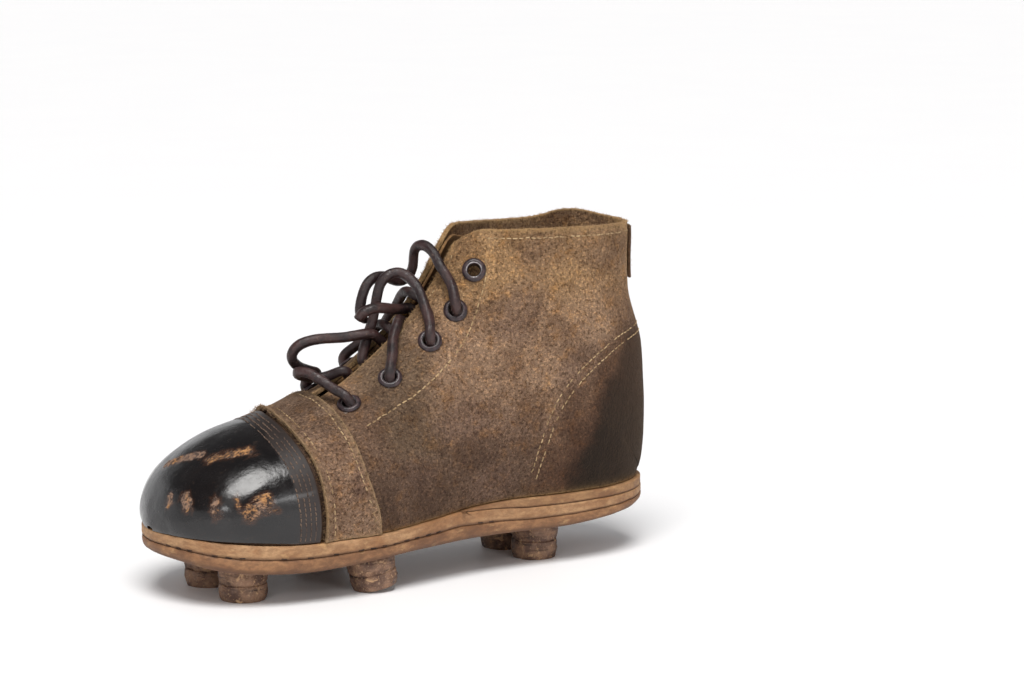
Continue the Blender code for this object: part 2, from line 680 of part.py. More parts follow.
def quarter_grid(side):
    """One quarter from the strap to the collar; columns run from the sole or back seam to the throat."""
    columns = SIDE_COLUMNS + len(THROAT_COLUMNS)
    grid = np.zeros((len(QUARTER_ROWS), columns, 3))
    for c in range(columns):
        share = c / (columns - 1)
        top = COLLAR - collar_dip(share, side)
        for r, row in enumerate(QUARTER_ROWS):
            late = max(row - BACK_SEAM, 0.0) / (COLLAR - BACK_SEAM)
            u = row + (top - COLLAR) * late
            seam = 0.0 if u < BACK_SEAM else GAP / 2 + 0.05
            curve = section_curve(min(u, COLLAR), side)
            edge = arc_lengths(curve)[-1] - throat_half(min(u, COLLAR))
            inner = edge - THROAT_COLUMNS[-1]
            if c < SIDE_COLUMNS:
                length = seam + (inner - seam) * c / SIDE_COLUMNS
            else:
                length = edge - THROAT_COLUMNS[columns - 1 - c]
            point = along(curve, [length])[0]
            point[2] += max(u - COLLAR, 0.0) * 4.0
            grid[r, c] = point
    return grid


def make_quarters(where, skins):
    """The two quarters, each with the facing that backs its eyelets."""
    quarters = {}
    facings = {}
    first, last = FACING_ROWS
    for side, label in ((NEAR, "near"), (FAR, "far")):
        grid = quarter_grid(side)
        quarters[side] = leather_piece("quarter_" + label, grid, 0.0, LEATHER, where, skins["suede"])
        strip = grid[first:last, SIDE_COLUMNS:]
        facings[side] = leather_piece("facing_" + label, strip, -GAP - FACING_THICK, -GAP,
                                      where, skins["facing"])
    return quarters, facings


def eyelet_b(number, side):
    return side * (throat_half(EYELET_SECTIONS[number]) + EYELET_SET_BACKS[number])


def eyelet_frame(number, side):
    """Matrix at an eyelet: origin on the quarter's outer face, local Z outwards."""
    u = EYELET_SECTIONS[number]
    point, normal = last_point(u, eyelet_b(number, side), LEATHER)
    return frame_at(point, normal)


def make_eyelets(quarters, facings, where, cutters, skins):
    low = -(LEATHER + GAP + FACING_THICK)
    profile = ((EYELET_HOLE_R, low - 1.5), (EYELET_HOLE_R, 0.6), (3.5, 1.3), (EYELET_FLANGE_R, 0.7),
               (4.7, 0.35), (EYELET_BARREL_R, 0.35), (EYELET_BARREL_R, low - 0.8),
               (EYELET_CLINCH_R, low - 0.9), (4.0, low - 1.5))
    for side, label in ((NEAR, "near"), (FAR, "far")):
        holes = []
        for number in range(len(EYELET_SECTIONS)):
            matrix = eyelet_frame(number, side)
            name = "eyelet_%s_%d" % (label, number + 1)
            lathe(name, profile, 12, where, skins["eyelet"], matrix)
            bore = ((0, low - 4), (LEATHER_HOLE_R, low - 4), (LEATHER_HOLE_R, 4), (0, 4))
            holes.append(lathe(name + "_hole", bore, 12, cutters, None, matrix))
        cutter = merged("eyelet_holes_" + label, holes, cutters)
        cut(quarters[side], cutter)
        cut(facings[side], cutter)


def tongue_drop(u):
    """Height of the tongue's inner face above the last: at the vamp, then down under the lace."""
    t = min(max((u - TONGUE_START) / (TONGUE_DROP - TONGUE_START), 0.0), 1.0)
    ease = t * t * (3 - 2 * t)
    start = -GAP - TONGUE_THICK
    return start + (-TONGUE_DEPTH - start) * ease


def make_tongue(where, skins):
    """The tongue is sewn on under the vamp and swings about that seam."""
    us = rows_between(TONGUE_START, TONGUE_END, 15)
    rows = []
    heights = []
    for u in us:
        tip = max(u - (TONGUE_END - 0.6), 0.0) / 0.6
        half = TONGUE_HALF * (0.8 + 0.2 * min((u - TONGUE_START) / 1.5, 1.0)) * (1 - 0.25 * tip ** 2)
        near = section_side(u, NEAR, 0.0, 0.0, 200)
        far = section_side(u, FAR, 0.0, 0.0, 200)
        both = np.concatenate([near, far[::-1][1:]])
        ridge = arc_lengths(near)[-1]
        rows.append(along(both, np.linspace(ridge - half, ridge + half, 9)))
        heights.append([tongue_drop(u)] * 9)
    heights = np.array(heights)
    pivot, _ = last_point(TONGUE_START, 0.0, -GAP - TONGUE_THICK / 2)
    leather_piece("tongue", np.array(rows), heights, heights + TONGUE_THICK, where, skins["tongue"], pivot)


# ---------------------------------------------------------------- heel pieces
def last_tree():
    """The last as a surface to aim at, from the instep back."""
    us = np.linspace(5.0, COLLAR, 70)
    rows = []
    for u in us:
        near = section_side(u, NEAR, 0.0, 0.0, 40)
        far = section_side(u, FAR, 0.0, 0.0, 40)
        rows.append(np.concatenate([near, far[::-1][1:]]))
    grid = np.array(rows)
    count = grid.shape[1]
    faces = []
    for r in range(len(us) - 1):
        for c in range(count - 1):
            faces.append((r * count + c, r * count + c + 1, (r + 1) * count + c + 1, (r + 1) * count + c))
    return BVHTree.FromPolygons([Vector(p) for p in grid.reshape(-1, 3)], faces)


def heel_point(tree, angle, z):
    """Where a level ray from the heel's axis meets the last; angle 0 is straight back."""
    way = Vector((math.cos(angle), math.sin(angle), 0.0))
    hit = tree.ray_cast(Vector((HEEL_AXIS_X, OFF_SEAM, z)), way)
    return np.array(hit[0])


def heel_band(tree, angles, low, high, rows):
    """A grid round the heel between two heights that are functions of the angle."""
    grid = np.zeros((rows, len(angles), 3))
    for c, angle in enumerate(angles):
        a = math.radians(angle)
        for r in range(rows):
            top = float(high(abs(angle)))
            bottom = low
            z = bottom + (top - bottom) * r / (rows - 1)
            grid[r, c] = heel_point(tree, a, z)
    return grid


def make_counter(tree, where, skins):
    low = float(sole_top(90.0)) + GAP + INSOLE_THICK + COUNTER_RISE
    angles = np.linspace(-COUNTER_ANGLES[-1], COUNTER_ANGLES[-1], 25)
    grid = heel_band(tree, angles, low, lambda a: smooth(COUNTER_ANGLES, COUNTER_TOPS, a), 7)
    leather_piece("heel_counter", grid, -COUNTER_GAP - COUNTER_THICK, -COUNTER_GAP, where, skins["counter"])
    inner = -COUNTER_GAP - GAP - COUNTER_THICK
    leather_piece("counter_lining", grid, inner - COUNTER_THICK, inner, where, skins["lining"])


def make_back_strip(tree, where, skins):
    rows = []
    for z in np.linspace(STRIP_LOW, STRIP_HIGH, 6):
        row = []
        for y in np.linspace(-STRIP_HALF, STRIP_HALF, 7):
            hit = tree.ray_cast(Vector((HEEL_AXIS_X, y + OFF_SEAM, z)), Vector((1.0, 0.0, 0.0)))
            row.append(np.array(hit[0]))
        rows.append(row)
    low = LEATHER + STRIP_STAND
    leather_piece("back_strip", np.array(rows), low, low + STRIP_THICK, where, skins["strip"])


# ---------------------------------------------------------------- lace
def on_last(steps):
    """Lace points given as (section, distance from the ridge, height above the last)."""
    return [last_point(u, b, h)[0] for u, b, h in steps]


def through(number, side):
    """Two points, from under an eyelet to just outside it."""
    u = EYELET_SECTIONS[number]
    b = eyelet_b(number, side)
    return on_last([(u, b, UNDER), (u, b, OVER)])


def cross_throat(u, side):
    """Over the edge of one facing, down through the throat and under the other."""
    return [(u, side * 5.6, ON_EDGE), (u, side * 1.7, 3.9), (u, -side * 0.2, -0.2),
            (u, -side * 1.2, -4.5), (u, -side * 6.0, UNDER)]


def dive(number, side, cross):
    """From the outside of an eyelet through the throat at section cross to the other side."""
    u = EYELET_SECTIONS[number]
    start = (u + (cross - u) * 0.55, eyelet_b(number, side) * 0.70, ON_EDGE + 0.2)
    return on_last([start] + cross_throat(cross, side))


def near_strand():
    """From the lowest near eyelet to the end that hangs in the knot."""
    points = through(0, NEAR) + list(LOOP_A) + on_last(cross_throat(6.35, NEAR)[1:])
    points += through(1, FAR) + dive(1, FAR, 7.62)
    points += through(2, NEAR) + on_last([(8.39, -15.2, 5.6), (8.63, -10.5, 6.4)]) + list(FRONT_LOOP)
    points += on_last([(6.74, 0.6, 0.4), (6.76, 1.4, -3.8), (6.90, 5.5, UNDER), (7.4, 12.5, UNDER)])
    points += through(2, FAR) + dive(2, FAR, 8.86)
    points += through(3, NEAR) + on_last([(10.25, -13.2, 5.8), (10.87, -7.5, 7.4)]) + list(BACK_LOOP)
    return points


def far_strand():
    """From the lowest far eyelet to the frayed end over the throat."""
    points = through(0, FAR) + list(LOOP_B)
    points += on_last([(7.28, -0.2, 2.2), (7.35, -1.4, -3.4), (7.25, -6.5, UNDER)])
    points += through(1, NEAR) + on_last([(7.15, -15.0, 5.2), (7.39, -9.6, 5.2), (7.63, -6.4, 5.2), (7.80, -4.8, 4.7)])
    points += on_last([(7.90, -2.0, 3.3), (7.95, -1.2, -0.8), (8.12, -0.2, -4.2), (8.36, 0.8, -3.6), (8.46, 1.4, -0.2)])
    return points + list(THONG_END)


def lace_route():
    """The lace is one piece: free end, far strand, bottom bar, near strand, free end."""
    u = EYELET_SECTIONS[0]
    bar = on_last([(u - 0.08, 8.0, UNDER), (u - 0.1, 0.0, UNDER), (u - 0.08, -8.0, UNDER)])
    return np.array(far_strand()[::-1] + bar + near_strand())


def cord(name, points, where, skin):
    """A round closed tube along the points, made into a mesh."""
    data = bpy.data.curves.new(name + "_path", "CURVE")
    data.dimensions = "3D"
    data.bevel_depth = LACE_R * MM
    data.bevel_resolution = 2
    data.use_fill_caps = True
    line = data.splines.new("POLY")
    line.points.add(len(points) - 1)
    for k, p in enumerate(points):
        line.points[k].co = ((p[0] - CENTRE_X) * MM, p[1] * MM, p[2] * MM, 1.0)
    thing = bpy.data.objects.new(name + "_path", data)
    where.objects.link(thing)
    mesh = bpy.data.meshes.new_from_object(thing)
    bpy.data.objects.remove(thing, do_unlink=True)
    work = bmesh.new()
    work.from_mesh(mesh)
    bmesh.ops.remove_doubles(work, verts=work.verts, dist=1e-6)
    bmesh.ops.recalc_face_normals(work, faces=work.faces)
    work.to_mesh(mesh)
    work.free()
    mesh.name = name
    mesh.materials.clear()
    mesh.materials.append(skin)
    where.objects.link(bpy.data.objects.new(name, mesh))


# ---------------------------------------------------------------- whole boot
def make_skins():
    return {
        "sole": material("sole_leather", (0.42, 0.25, 0.12), 0.7),
        "midsole": material("midsole_leather", (0.48, 0.30, 0.15), 0.7),
        "wedge": material("wedge_leather", (0.55, 0.38, 0.20), 0.7),
        "insole": material("insole_leather", (0.40, 0.28, 0.17), 0.8),
        "stud": material("stud_leather", (0.16, 0.08, 0.045), 0.75),
        "nail": material("nail_steel", (0.35, 0.33, 0.31), 0.45, 1.0),
        "cap": material("cap_leather", (0.03, 0.016, 0.014), 0.25),
        "puff": material("puff_leather", (0.30, 0.20, 0.12), 0.8),
        "suede": material("suede", (0.22, 0.13, 0.07), 0.95),
        "strap": material("strap_suede", (0.20, 0.12, 0.07), 0.95),
        "facing": material("facing_leather", (0.26, 0.16, 0.09), 0.9),
        "tongue": material("tongue_leather", (0.24, 0.15, 0.08), 0.9),
        "counter": material("counter_leather", (0.30, 0.20, 0.12), 0.8),
        "lining": material("lining_leather", (0.34, 0.24, 0.15), 0.85),
        "strip": material("strip_suede", (0.27, 0.17, 0.09), 0.95),
        "eyelet": material("eyelet_enamel", (0.06, 0.045, 0.045), 0.3, 1.0),
        "lace": material("lace_leather", (0.05, 0.03, 0.03), 0.5),
    }


def main():
    clear_scene()
    parts = new_collection("soccer_cleat")
    cutters = new_collection("cutters")
    skins = make_skins()
    outsole = make_soles(parts, skins)
    for label, x, y, tilt in STUDS:
        cut(outsole, make_stud(label, x, y, tilt, parts, cutters, skins))
    make_cap(parts, skins)
    make_vamp(parts, skins)
    make_strap(parts, skins)
    quarters, facings = make_quarters(parts, skins)
    make_eyelets(quarters, facings, parts, cutters, skins)
    make_tongue(parts, skins)
    tree = last_tree()
    make_counter(tree, parts, skins)
    make_back_strip(tree, parts, skins)
    cord("lace", lace_route(), parts, skins["lace"])
    bpy.context.view_layer.update()


main()
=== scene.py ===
"""Looks of the old leather football boot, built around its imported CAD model.

Lengths are in boot millimetres until a mesh is made: x from toe to heel, z up, the outer side at -y.
"""
import math

import bmesh
import bpy
import numpy as np
from mathutils import Matrix, Vector, noise
from mathutils.bvhtree import BVHTree


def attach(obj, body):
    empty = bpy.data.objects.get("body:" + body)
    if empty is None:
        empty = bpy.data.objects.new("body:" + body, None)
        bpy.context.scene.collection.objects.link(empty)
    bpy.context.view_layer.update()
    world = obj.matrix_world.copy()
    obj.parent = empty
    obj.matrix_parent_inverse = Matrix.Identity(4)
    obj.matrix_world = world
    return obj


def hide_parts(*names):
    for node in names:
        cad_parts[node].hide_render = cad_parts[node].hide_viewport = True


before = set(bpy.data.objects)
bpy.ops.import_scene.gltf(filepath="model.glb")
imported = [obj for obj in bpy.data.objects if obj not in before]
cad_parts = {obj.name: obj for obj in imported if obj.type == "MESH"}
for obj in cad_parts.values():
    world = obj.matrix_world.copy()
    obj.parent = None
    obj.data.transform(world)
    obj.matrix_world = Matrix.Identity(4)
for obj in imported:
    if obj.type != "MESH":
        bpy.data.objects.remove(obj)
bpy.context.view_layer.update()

MM = 0.001
CENTRE_X = 1.1
GAP = 0.3
NEAR = -1
FAR = 1
RNG = np.random.default_rng(11)

# ------------------------------ the same dimensions as the CAD
LEATHER = 2.0
CAP_BASE = 2.3
CAP_THICK = 2.3
STRAP_THICK = 2.0
STRAP_LIFT = 1.6
STRAP_LIFT_SPAN = 0.3
SOLE_TOE = -113.0
SOLE_HEEL = 114.0
SOLE_STATIONS = (-113, -109.5, -104, -96, -84, -70, -52, -32, -8, 18, 40, 62, 82, 98, 109, 114)
SOLE_NEAR = (0, 16, 26, 33, 39, 42, 43, 42, 37.5, 32, 30.5, 30.5, 29, 23.5, 14, 0)
SOLE_FAR = (0, 16, 26, 33, 38.5, 41, 41, 38, 31.5, 27.5, 27.5, 29, 28.5, 23.5, 14, 0)
SOLE_TOP_X = (-114, -108, -94, -64, -32, -4, 23, 40, 60, 90, 112)
SOLE_TOP_Z = (28.2, 28.0, 26.6, 24.6, 24.6, 26.6, 29.4, 30.0, 29.8, 30.0, 30.6)
SOLE_BOTTOM_X = (-114, -107, -97, -83, -63, -45, -12, 24, 57, 90, 112)
SOLE_BOTTOM_Z = (19.6, 18.0, 15.4, 13.9, 13.1, 13.8, 15.6, 16.1, 15.9, 18.0, 20.4)
WEDGE_START = 16.0
WEDGE_X = (16, 28, 45, 112)
WEDGE_THICK = (0.9, 2.2, 3.8, 3.6)
OUTSOLE_SHARE = 0.52
FEATHER_SHARE = 0.88
INSOLE_THICK = 2.4
# ridge x and z, base x and z, half-width, where it is widest, squareness, bow
LAST = (
    (-108.6, 29.6, -108.2, 28.9, 1.0, 0.30, 2.0, 0.0),
    (-107.0, 35.5, -105.5, 28.6, 14.0, 0.35, 2.2, 0.0),
    (-103.0, 43.5, -100.5, 28.2, 24.0, 0.35, 2.2, 0.5),
    (-93.5, 52.5, -92.0, 27.2, 32.5, 0.33, 2.3, 1.0),
    (-78.0, 60.5, -77.0, 26.0, 37.0, 0.30, 2.4, 2.0),
    (-58.5, 66.0, -58.5, 25.2, 38.8, 0.30, 2.3, 3.0),
    (-31.0, 78.0, -31.0, 25.2, 38.0, 0.25, 2.1, 0.0),
    (-13.0, 91.0, -8.0, 27.0, 34.0, 0.22, 2.0, 0.0),
    (1.5, 104.0, 22.0, 29.9, 31.0, 0.22, 1.95, 0.0),
    (9.5, 114.0, 52.0, 30.3, 30.0, 0.26, 1.95, 0.0),
    (14.0, 120.5, 82.0, 30.4, 29.5, 0.32, 2.0, 0.0),
    (17.0, 125.5, 109.8, 31.2, 28.5, 0.42, 2.05, 0.0),
    (19.0, 129.0, 113.6, 58.0, 26.5, 0.48, 2.1, 0.0),
    (21.0, 133.0, 112.8, 84.0, 23.0, 0.50, 2.2, 0.0),
    (23.0, 137.0, 106.5, 112.0, 19.5, 0.50, 2.4, 0.0),
    (25.0, 140.8, 105.6, 139.6, 17.8, 0.50, 2.6, 0.0),
)
LAST_COLUMNS = np.array(LAST).T
CAP_END = 5.0
REAR_SHARES = (0.0, 0.18, 0.33, 0.60, 0.84, 1.0)
CAP_REAR = (5.02, 4.91, 4.85, 4.84, 4.89, 4.95)
CAP_REAR_FAR = (5.02, 5.02, 5.04, 5.10, 5.04, 4.95)
VAMP_START = 4.5
VAMP_END = 5.45
STRAP_AHEAD = 0.075
STRAP_REAR_SHARES = (0.0, 0.1, 0.23, 0.35, 0.6, 1.0)
STRAP_REAR = (6.02, 5.99, 5.87, 5.76, 5.69, 5.66)
BACK_SEAM = 11.0
COLLAR = 15.0
LEVEL_SPAN = 12.0
MEDIAL_WAIST = 0.95
THROAT_SECTIONS = (5.6, 7, 10, 15)
THROAT_HALF = (3.6, 4.0, 4.6, 5.6)
EYELET_SECTIONS = (5.94, 6.90, 8.10, 9.45, 12.15)
EYELET_SET_BACKS = (14.5, 15.8, 15.0, 15.0, 12.8)
FACING_THICK = 1.2
TONGUE_THICK = 1.8
TONGUE_DEPTH = 10.8
TONGUE_START = 5.15
TONGUE_DROP = 5.75
TONGUE_END = 9.0
TONGUE_HALF = 15.0
HEEL_AXIS_X = 62.0
FOOT_MIDDLE_Z = 45.0
OFF_SEAM = 0.01
COUNTER_ANGLES = (0, 40, 60, 85, 105, 115, 121)
COUNTER_TOPS = (94, 91, 86, 76, 65, 54, 46)
COUNTER_THICK = 1.3
COUNTER_RISE = 4.5
COUNTER_GAP = 1.6
STRIP_HALF = 6.0
STRIP_LOW = 115.0
STRIP_HIGH = 137.5
STRIP_THICK = 1.3
STRIP_STAND = 0.35
STUD_R_TOP = 10.2
STUD_R_FOOT = 9.6
STUDS = (
    ("front_near", -80.5, -17.0, 0.0),
    ("front_far", -81.5, 13.5, 0.0),
    ("middle_near", -30.0, -29.0, 11.0),
    ("middle_far", -26.0, 25.0, 4.0),
    ("heel_near", 58.5, -9.5, 0.0),
    ("heel_far", 57.0, 14.0, 0.0),
)
NAIL_CIRCLE = 4.8
LACE_R = 2.1
LOOP_A = ((-37.5, -14.6, 80.2), (-44.2, -4.0, 86.2), (-46.6, 0.4, 86.2), (-44.0, 5.0, 84.0),
          (-34.0, 4.2, 82.0))
LOOP_B = ((-31.0, 13.5, 82.0), (-41.5, 9.0, 86.2), (-46.8, 6.6, 91.2), (-45.0, 4.6, 96.0), (-38.6, 3.0, 98.2),
          (-25.0, 0.6, 98.6), (-13.0, -1.6, 99.4))
FRONT_LOOP = ((4.1, -6.8, 118.8), (-0.6, -1.4, 124.0), (-4.5, 0.0, 123.4), (-8.2, 1.2, 119.8),
              (-9.9, 2.0, 112.2), (-10.8, 3.2, 105.0), (-13.0, 3.4, 98.6), (-15.2, 2.0, 94.6))
BACK_LOOP = ((12.9, -4.5, 132.0), (11.3, 0.6, 134.4), (10.1, 5.6, 132.4), (11.0, 9.2, 123.6),
             (9.4, 11.8, 118.8), (4.6, 10.6, 118.3), (-4.0, 8.0, 121.6), (-11.0, 6.4, 120.0),
             (-14.4, 6.2, 113.5), (-15.2, 6.4, 106.6), (-11.8, 8.6, 103.6))
THONG_END = ((2.2, 1.6, 108.0), (-5.5, -1.4, 109.2), (-12.6, -3.2, 110.3), (-18.0, -2.6, 109.0),
             (-20.4, -1.2, 105.8))
UNDER = -6.0
OVER = 5.6
ON_EDGE = 4.6

# ------------------------------ numbers of the looks alone
SECTION_POINTS = 90
LENS = 109.43
SENSOR = 36.0
CAMERA_AT = (-594.67, -1118.41, 294.44)
CAMERA_TILT = 81.044
CAMERA_TURN = -30.085
SUN_FROM = (-0.20, -0.36, 0.91)
SUN_ENERGY = 2.9
SUN_SPREAD = 33
AIM = (-0.05, -0.03, 0.05)
FLOOR_HALF = 6.0
SKY_FOR_ROUGH = 0.34
SKY_LOW = 0.80
SKY_HIGH = 0.12
SHEEN = 0.26
FIBRE_THICK = 0.07
PUNCH_R = 3.6
PUNCH_DEPTH = 16
THREAD_SIDES = 6
LACE_SIDES = 14
LACE_SQUARE = 2.9
EYELET_SIDES = 48
STUD_SIDES = 72
# kind: thread, pitch, length, radius, how proud it stands, share lost, slot
STITCHES = {
    "cap": ("brown_thread", 2.0, 1.7, 0.27, 0.5, 0.1, "cap_leather"),
    "strap": ("pale_thread", 2.8, 1.9, 0.26, 0.2, 0.16, "upper_suede"),
    "collar": ("pale_thread", 2.7, 2.0, 0.27, 0.3, 0.08, "upper_suede"),
    "facing": ("pale_thread", 2.7, 2.0, 0.29, 0.4, 0.05, "upper_suede"),
    "throat": ("pale_thread", 2.7, 1.9, 0.20, 0.0, 0.4, "upper_suede"),
    "counter": ("pale_thread", 2.6, 1.9, 0.28, 0.35, 0.08, "upper_suede"),
    "back": ("pale_thread", 2.6, 1.8, 0.22, 0.2, 0.1, "upper_suede"),
    "welt": ("dark_thread", 5.6, 2.6, 0.26, 0.1, 0.35, "sole_leather"),
}


# ------------------------------ the last, as in the CAD
def smooth(xs, ys, x):
    """Monotone cubic through (xs, ys), read at x."""
    xs = np.asarray(xs, float)
    ys = np.asarray(ys, float)
    x = np.clip(np.asarray(x, float), xs[0], xs[-1])
    h = np.diff(xs)
    slope = np.diff(ys) / h
    m = np.zeros(len(xs))
    m[0] = slope[0]
    m[-1] = slope[-1]
    for i in range(1, len(xs) - 1):
        if slope[i - 1] * slope[i] > 0:
            w0 = 2 * h[i] + h[i - 1]
            w1 = h[i] + 2 * h[i - 1]
            m[i] = (w0 + w1) / (w0 / slope[i - 1] + w1 / slope[i])
    i = np.clip(np.searchsorted(xs, x) - 1, 0, len(h) - 1)
    t = (x - xs[i]) / h[i]
    a = (1 + 2 * t) * (1 - t) ** 2
    b = t * (1 - t) ** 2
    c = t * t * (3 - 2 * t)
    d = t * t * (t - 1)
    return a * ys[i] + b * h[i] * m[i] + c * ys[i + 1] + d * h[i] * m[i + 1]


def sole_half(x, side):
    table = SOLE_NEAR if side == NEAR else SOLE_FAR
    return np.sqrt(np.maximum(smooth(SOLE_STATIONS, np.square(table), x), 0.0))


def sole_top(x):
    return smooth(SOLE_TOP_X, SOLE_TOP_Z, x)


def sole_bottom(x):
    return smooth(SOLE_BOTTOM_X, SOLE_BOTTOM_Z, x)


def wedge_thick(x):
    return smooth(WEDGE_X, WEDGE_THICK, x)


def wedge_share(x):
    """How much height the heel wedge and its clearance take at x."""
    grow = np.clip((np.asarray(x, float) - WEDGE_START + 6) / 6, 0, 1)
    start = float(wedge_thick(WEDGE_START)) + GAP
    return np.where(np.asarray(x) < WEDGE_START, grow * start, wedge_thick(x) + GAP)


def midsole_top(x):
    return sole_top(x) - wedge_share(x)


def outsole_top(x):
    stack = midsole_top(x) - sole_bottom(x)
    return sole_bottom(x) + OUTSOLE_SHARE * (stack - GAP)


def feather_half(x, side):
    toe = LAST[0][2]
    heel = LAST[11][2]
    share = np.clip((x - toe) / (heel - toe), 0.0, 1.0)
    return FEATHER_SHARE * sole_half(SOLE_TOE + share * (SOLE_HEEL - SOLE_TOE), side)


SECTION_CACHE = {}


def section_curve(u, side):
    """Points of one side of section u, from the sole or back seam up to the ridge."""
    key = (round(float(u), 6), side)
    if key in SECTION_CACHE:
        return SECTION_CACHE[key]
    values = [float(smooth(range(len(LAST)), column, u)) for column in LAST_COLUMNS]
    ridge = np.array(values[0:2])
    base = np.array(values[2:4])
    widest, waist, square, bow = values[4:8]
    foot = 0.0
    if u < BACK_SEAM:
        base[1] = float(sole_top(base[0])) + GAP
        foot = float(feather_half(base[0], side))
    if side == FAR:
        widest *= 1.0 + (MEDIAL_WAIST - 1.0) * math.exp(-((u - 7.5) / 1.6) ** 2)
    widest = max(widest, foot + 0.8)
    start = math.acos(foot / widest)
    low = np.linspace(start, 0.0, SECTION_POINTS // 3, endpoint=False)
    high = np.linspace(0.0, math.pi / 2, SECTION_POINTS - SECTION_POINTS // 3)
    rise = np.concatenate([waist * (1 - (np.sin(low) / math.sin(start)) ** (2 / square)),
                           waist + (1 - waist) * np.sin(high) ** (2 / square)])
    out = widest * np.cos(np.concatenate([low, high]))
    chord = ridge - base
    across = np.array([chord[1], -chord[0]]) / max(np.linalg.norm(chord), 1e-6)
    line = base + np.outer(rise, chord) + np.outer(bow * 4 * rise * (1 - rise), across)
    made = np.column_stack([line[:, 0], side * out, line[:, 1]])
    SECTION_CACHE[key] = made
    return made


def arc_lengths(points):
    steps = np.linalg.norm(np.diff(points, axis=0), axis=1)
    return np.concatenate([[0.0], np.cumsum(steps)])


def along(points, lengths):
    arc = arc_lengths(points)
    return np.column_stack([np.interp(lengths, arc, points[:, k]) for k in range(3)])


def throat_half(u):
    return float(smooth(THROAT_SECTIONS, THROAT_HALF, u))


def section_side(u, side, columns):
    curve = section_curve(u, side)
    return along(curve, np.linspace(0.0, arc_lengths(curve)[-1], columns))


def section_point(u, side, share):
    """The point of section u at a share of the way up from the sole to the ridge."""
    curve = section_curve(u, side)
    return along(curve, [arc_lengths(curve)[-1] * share])[0]


def last_point(u, b, h):
    """A point on section u, |b| down from the ridge on b's side, h above the last, and its normal."""
    side = NEAR if b < 0 else FAR

    def surface(uu, bb):
        curve = section_curve(uu, side)
        total = arc_lengths(curve)[-1]
        return along(curve, [total - abs(bb)])[0]

    here = surface(u, b)
    du = surface(u + 0.02, b) - surface(u - 0.02, b)
    db = surface(u, abs(b) + 0.4) - surface(u, max(abs(b) - 0.4, 0.0))
    normal = np.cross(du, db) * side
    normal /= np.linalg.norm(normal)
    if abs(b) < 0.5:
        normal[1] = 0.0
        normal /= np.linalg.norm(normal)
    if normal @ (here - np.array([here[0] + 30.0, 0.0, here[2] - 30.0])) < 0:
        normal = -normal
    return here + normal * h, normal


def grid_normals(grid):
    """Unit normals of a grid of points, facing away from the inside of the boot."""
    du = np.gradient(grid, axis=0)
    dv = np.gradient(grid, axis=1)
    normals = np.cross(du, dv)
    size = np.linalg.norm(normals, axis=2, keepdims=True)
    normals = normals / np.maximum(size, 1e-9)
    centre = (grid.shape[0] // 2, grid.shape[1] // 2)
    middle = grid[centre]
    if middle[0] < 0:
        inside = np.array([middle[0], 0.0, FOOT_MIDDLE_Z])
    else:
        inside = np.array([min(middle[0], HEEL_AXIS_X), 0.0, middle[2]])
    return -normals if normals[centre] @ (inside - middle) > 0 else normals


def level_near_sole(grid, normals):
    above = np.clip((grid[..., 2] - sole_top(grid[..., 0])) / LEVEL_SPAN, 0, 1)
    keep = np.where(normals[..., 2] < 0, above, 1.0)
    made = normals.copy()
    made[..., 2] *= keep
    return made / np.linalg.norm(made, axis=2, keepdims=True)


# ------------------------------ meshes
def ease(low, high, x):
    t = np.clip((np.asarray(x, float) - low) / (high - low), 0, 1)
    return t * t * (3 - 2 * t)


def wave(points, scale, seed=0.0):
    """Smooth noise from -1 to 1 at points in millimetres, with bumps about scale millimetres wide."""
    shift = Vector((seed * 7.3, seed * 3.1, seed * 5.7))
    flat = np.asarray(points, float).reshape(-1, 3) / scale
    made = np.array([noise.noise(Vector(p) + shift) for p in flat])
    return made.reshape(np.asarray(points).shape[:-1])


def linked(name, data):
    """A new object in the scene that shows data."""
    thing = bpy.data.objects.new(name, data)
    bpy.context.scene.collection.objects.link(thing)
    return thing


def make_object(name, points, faces, skin, body="boot", attributes=None, shade=True):
    """An object from points in boot millimetres, riding on a body."""
    mesh = bpy.data.meshes.new(name)
    local = (np.asarray(points, float) - (CENTRE_X, 0.0, 0.0)) * MM
    mesh.from_pydata(local.tolist(), [], [tuple(f) for f in faces])
    for label, values in (attributes or {}).items():
        values = np.asarray(values, float)
        if values.ndim == 2:
            kind = mesh.attributes.new(label, "FLOAT_COLOR", "POINT")
            kind.data.foreach_set("color", np.column_stack([values, np.ones(len(values))]).ravel())
        else:
            kind = mesh.attributes.new(label, "FLOAT", "POINT")
            kind.data.foreach_set("value", values)
    mesh.materials.append(SKINS[skin])
    mesh.polygons.foreach_set("use_smooth", [shade] * len(mesh.polygons))
    mesh.update()
    thing = linked(name, mesh)
    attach(thing, body)
    return thing


def boundary(rows, columns):
    """The grid places round the edge, in order, with the neighbour that lies inwards."""
    loop = [(0, c, 1, c) for c in range(columns - 1)]
    loop += [(r, columns - 1, r, columns - 2) for r in range(rows - 1)]
    loop += [(rows - 1, c, rows - 2, c) for c in range(columns - 1, 0, -1)]
    loop += [(r, 0, r, 1) for r in range(rows - 1, 0, -1)]
    return loop


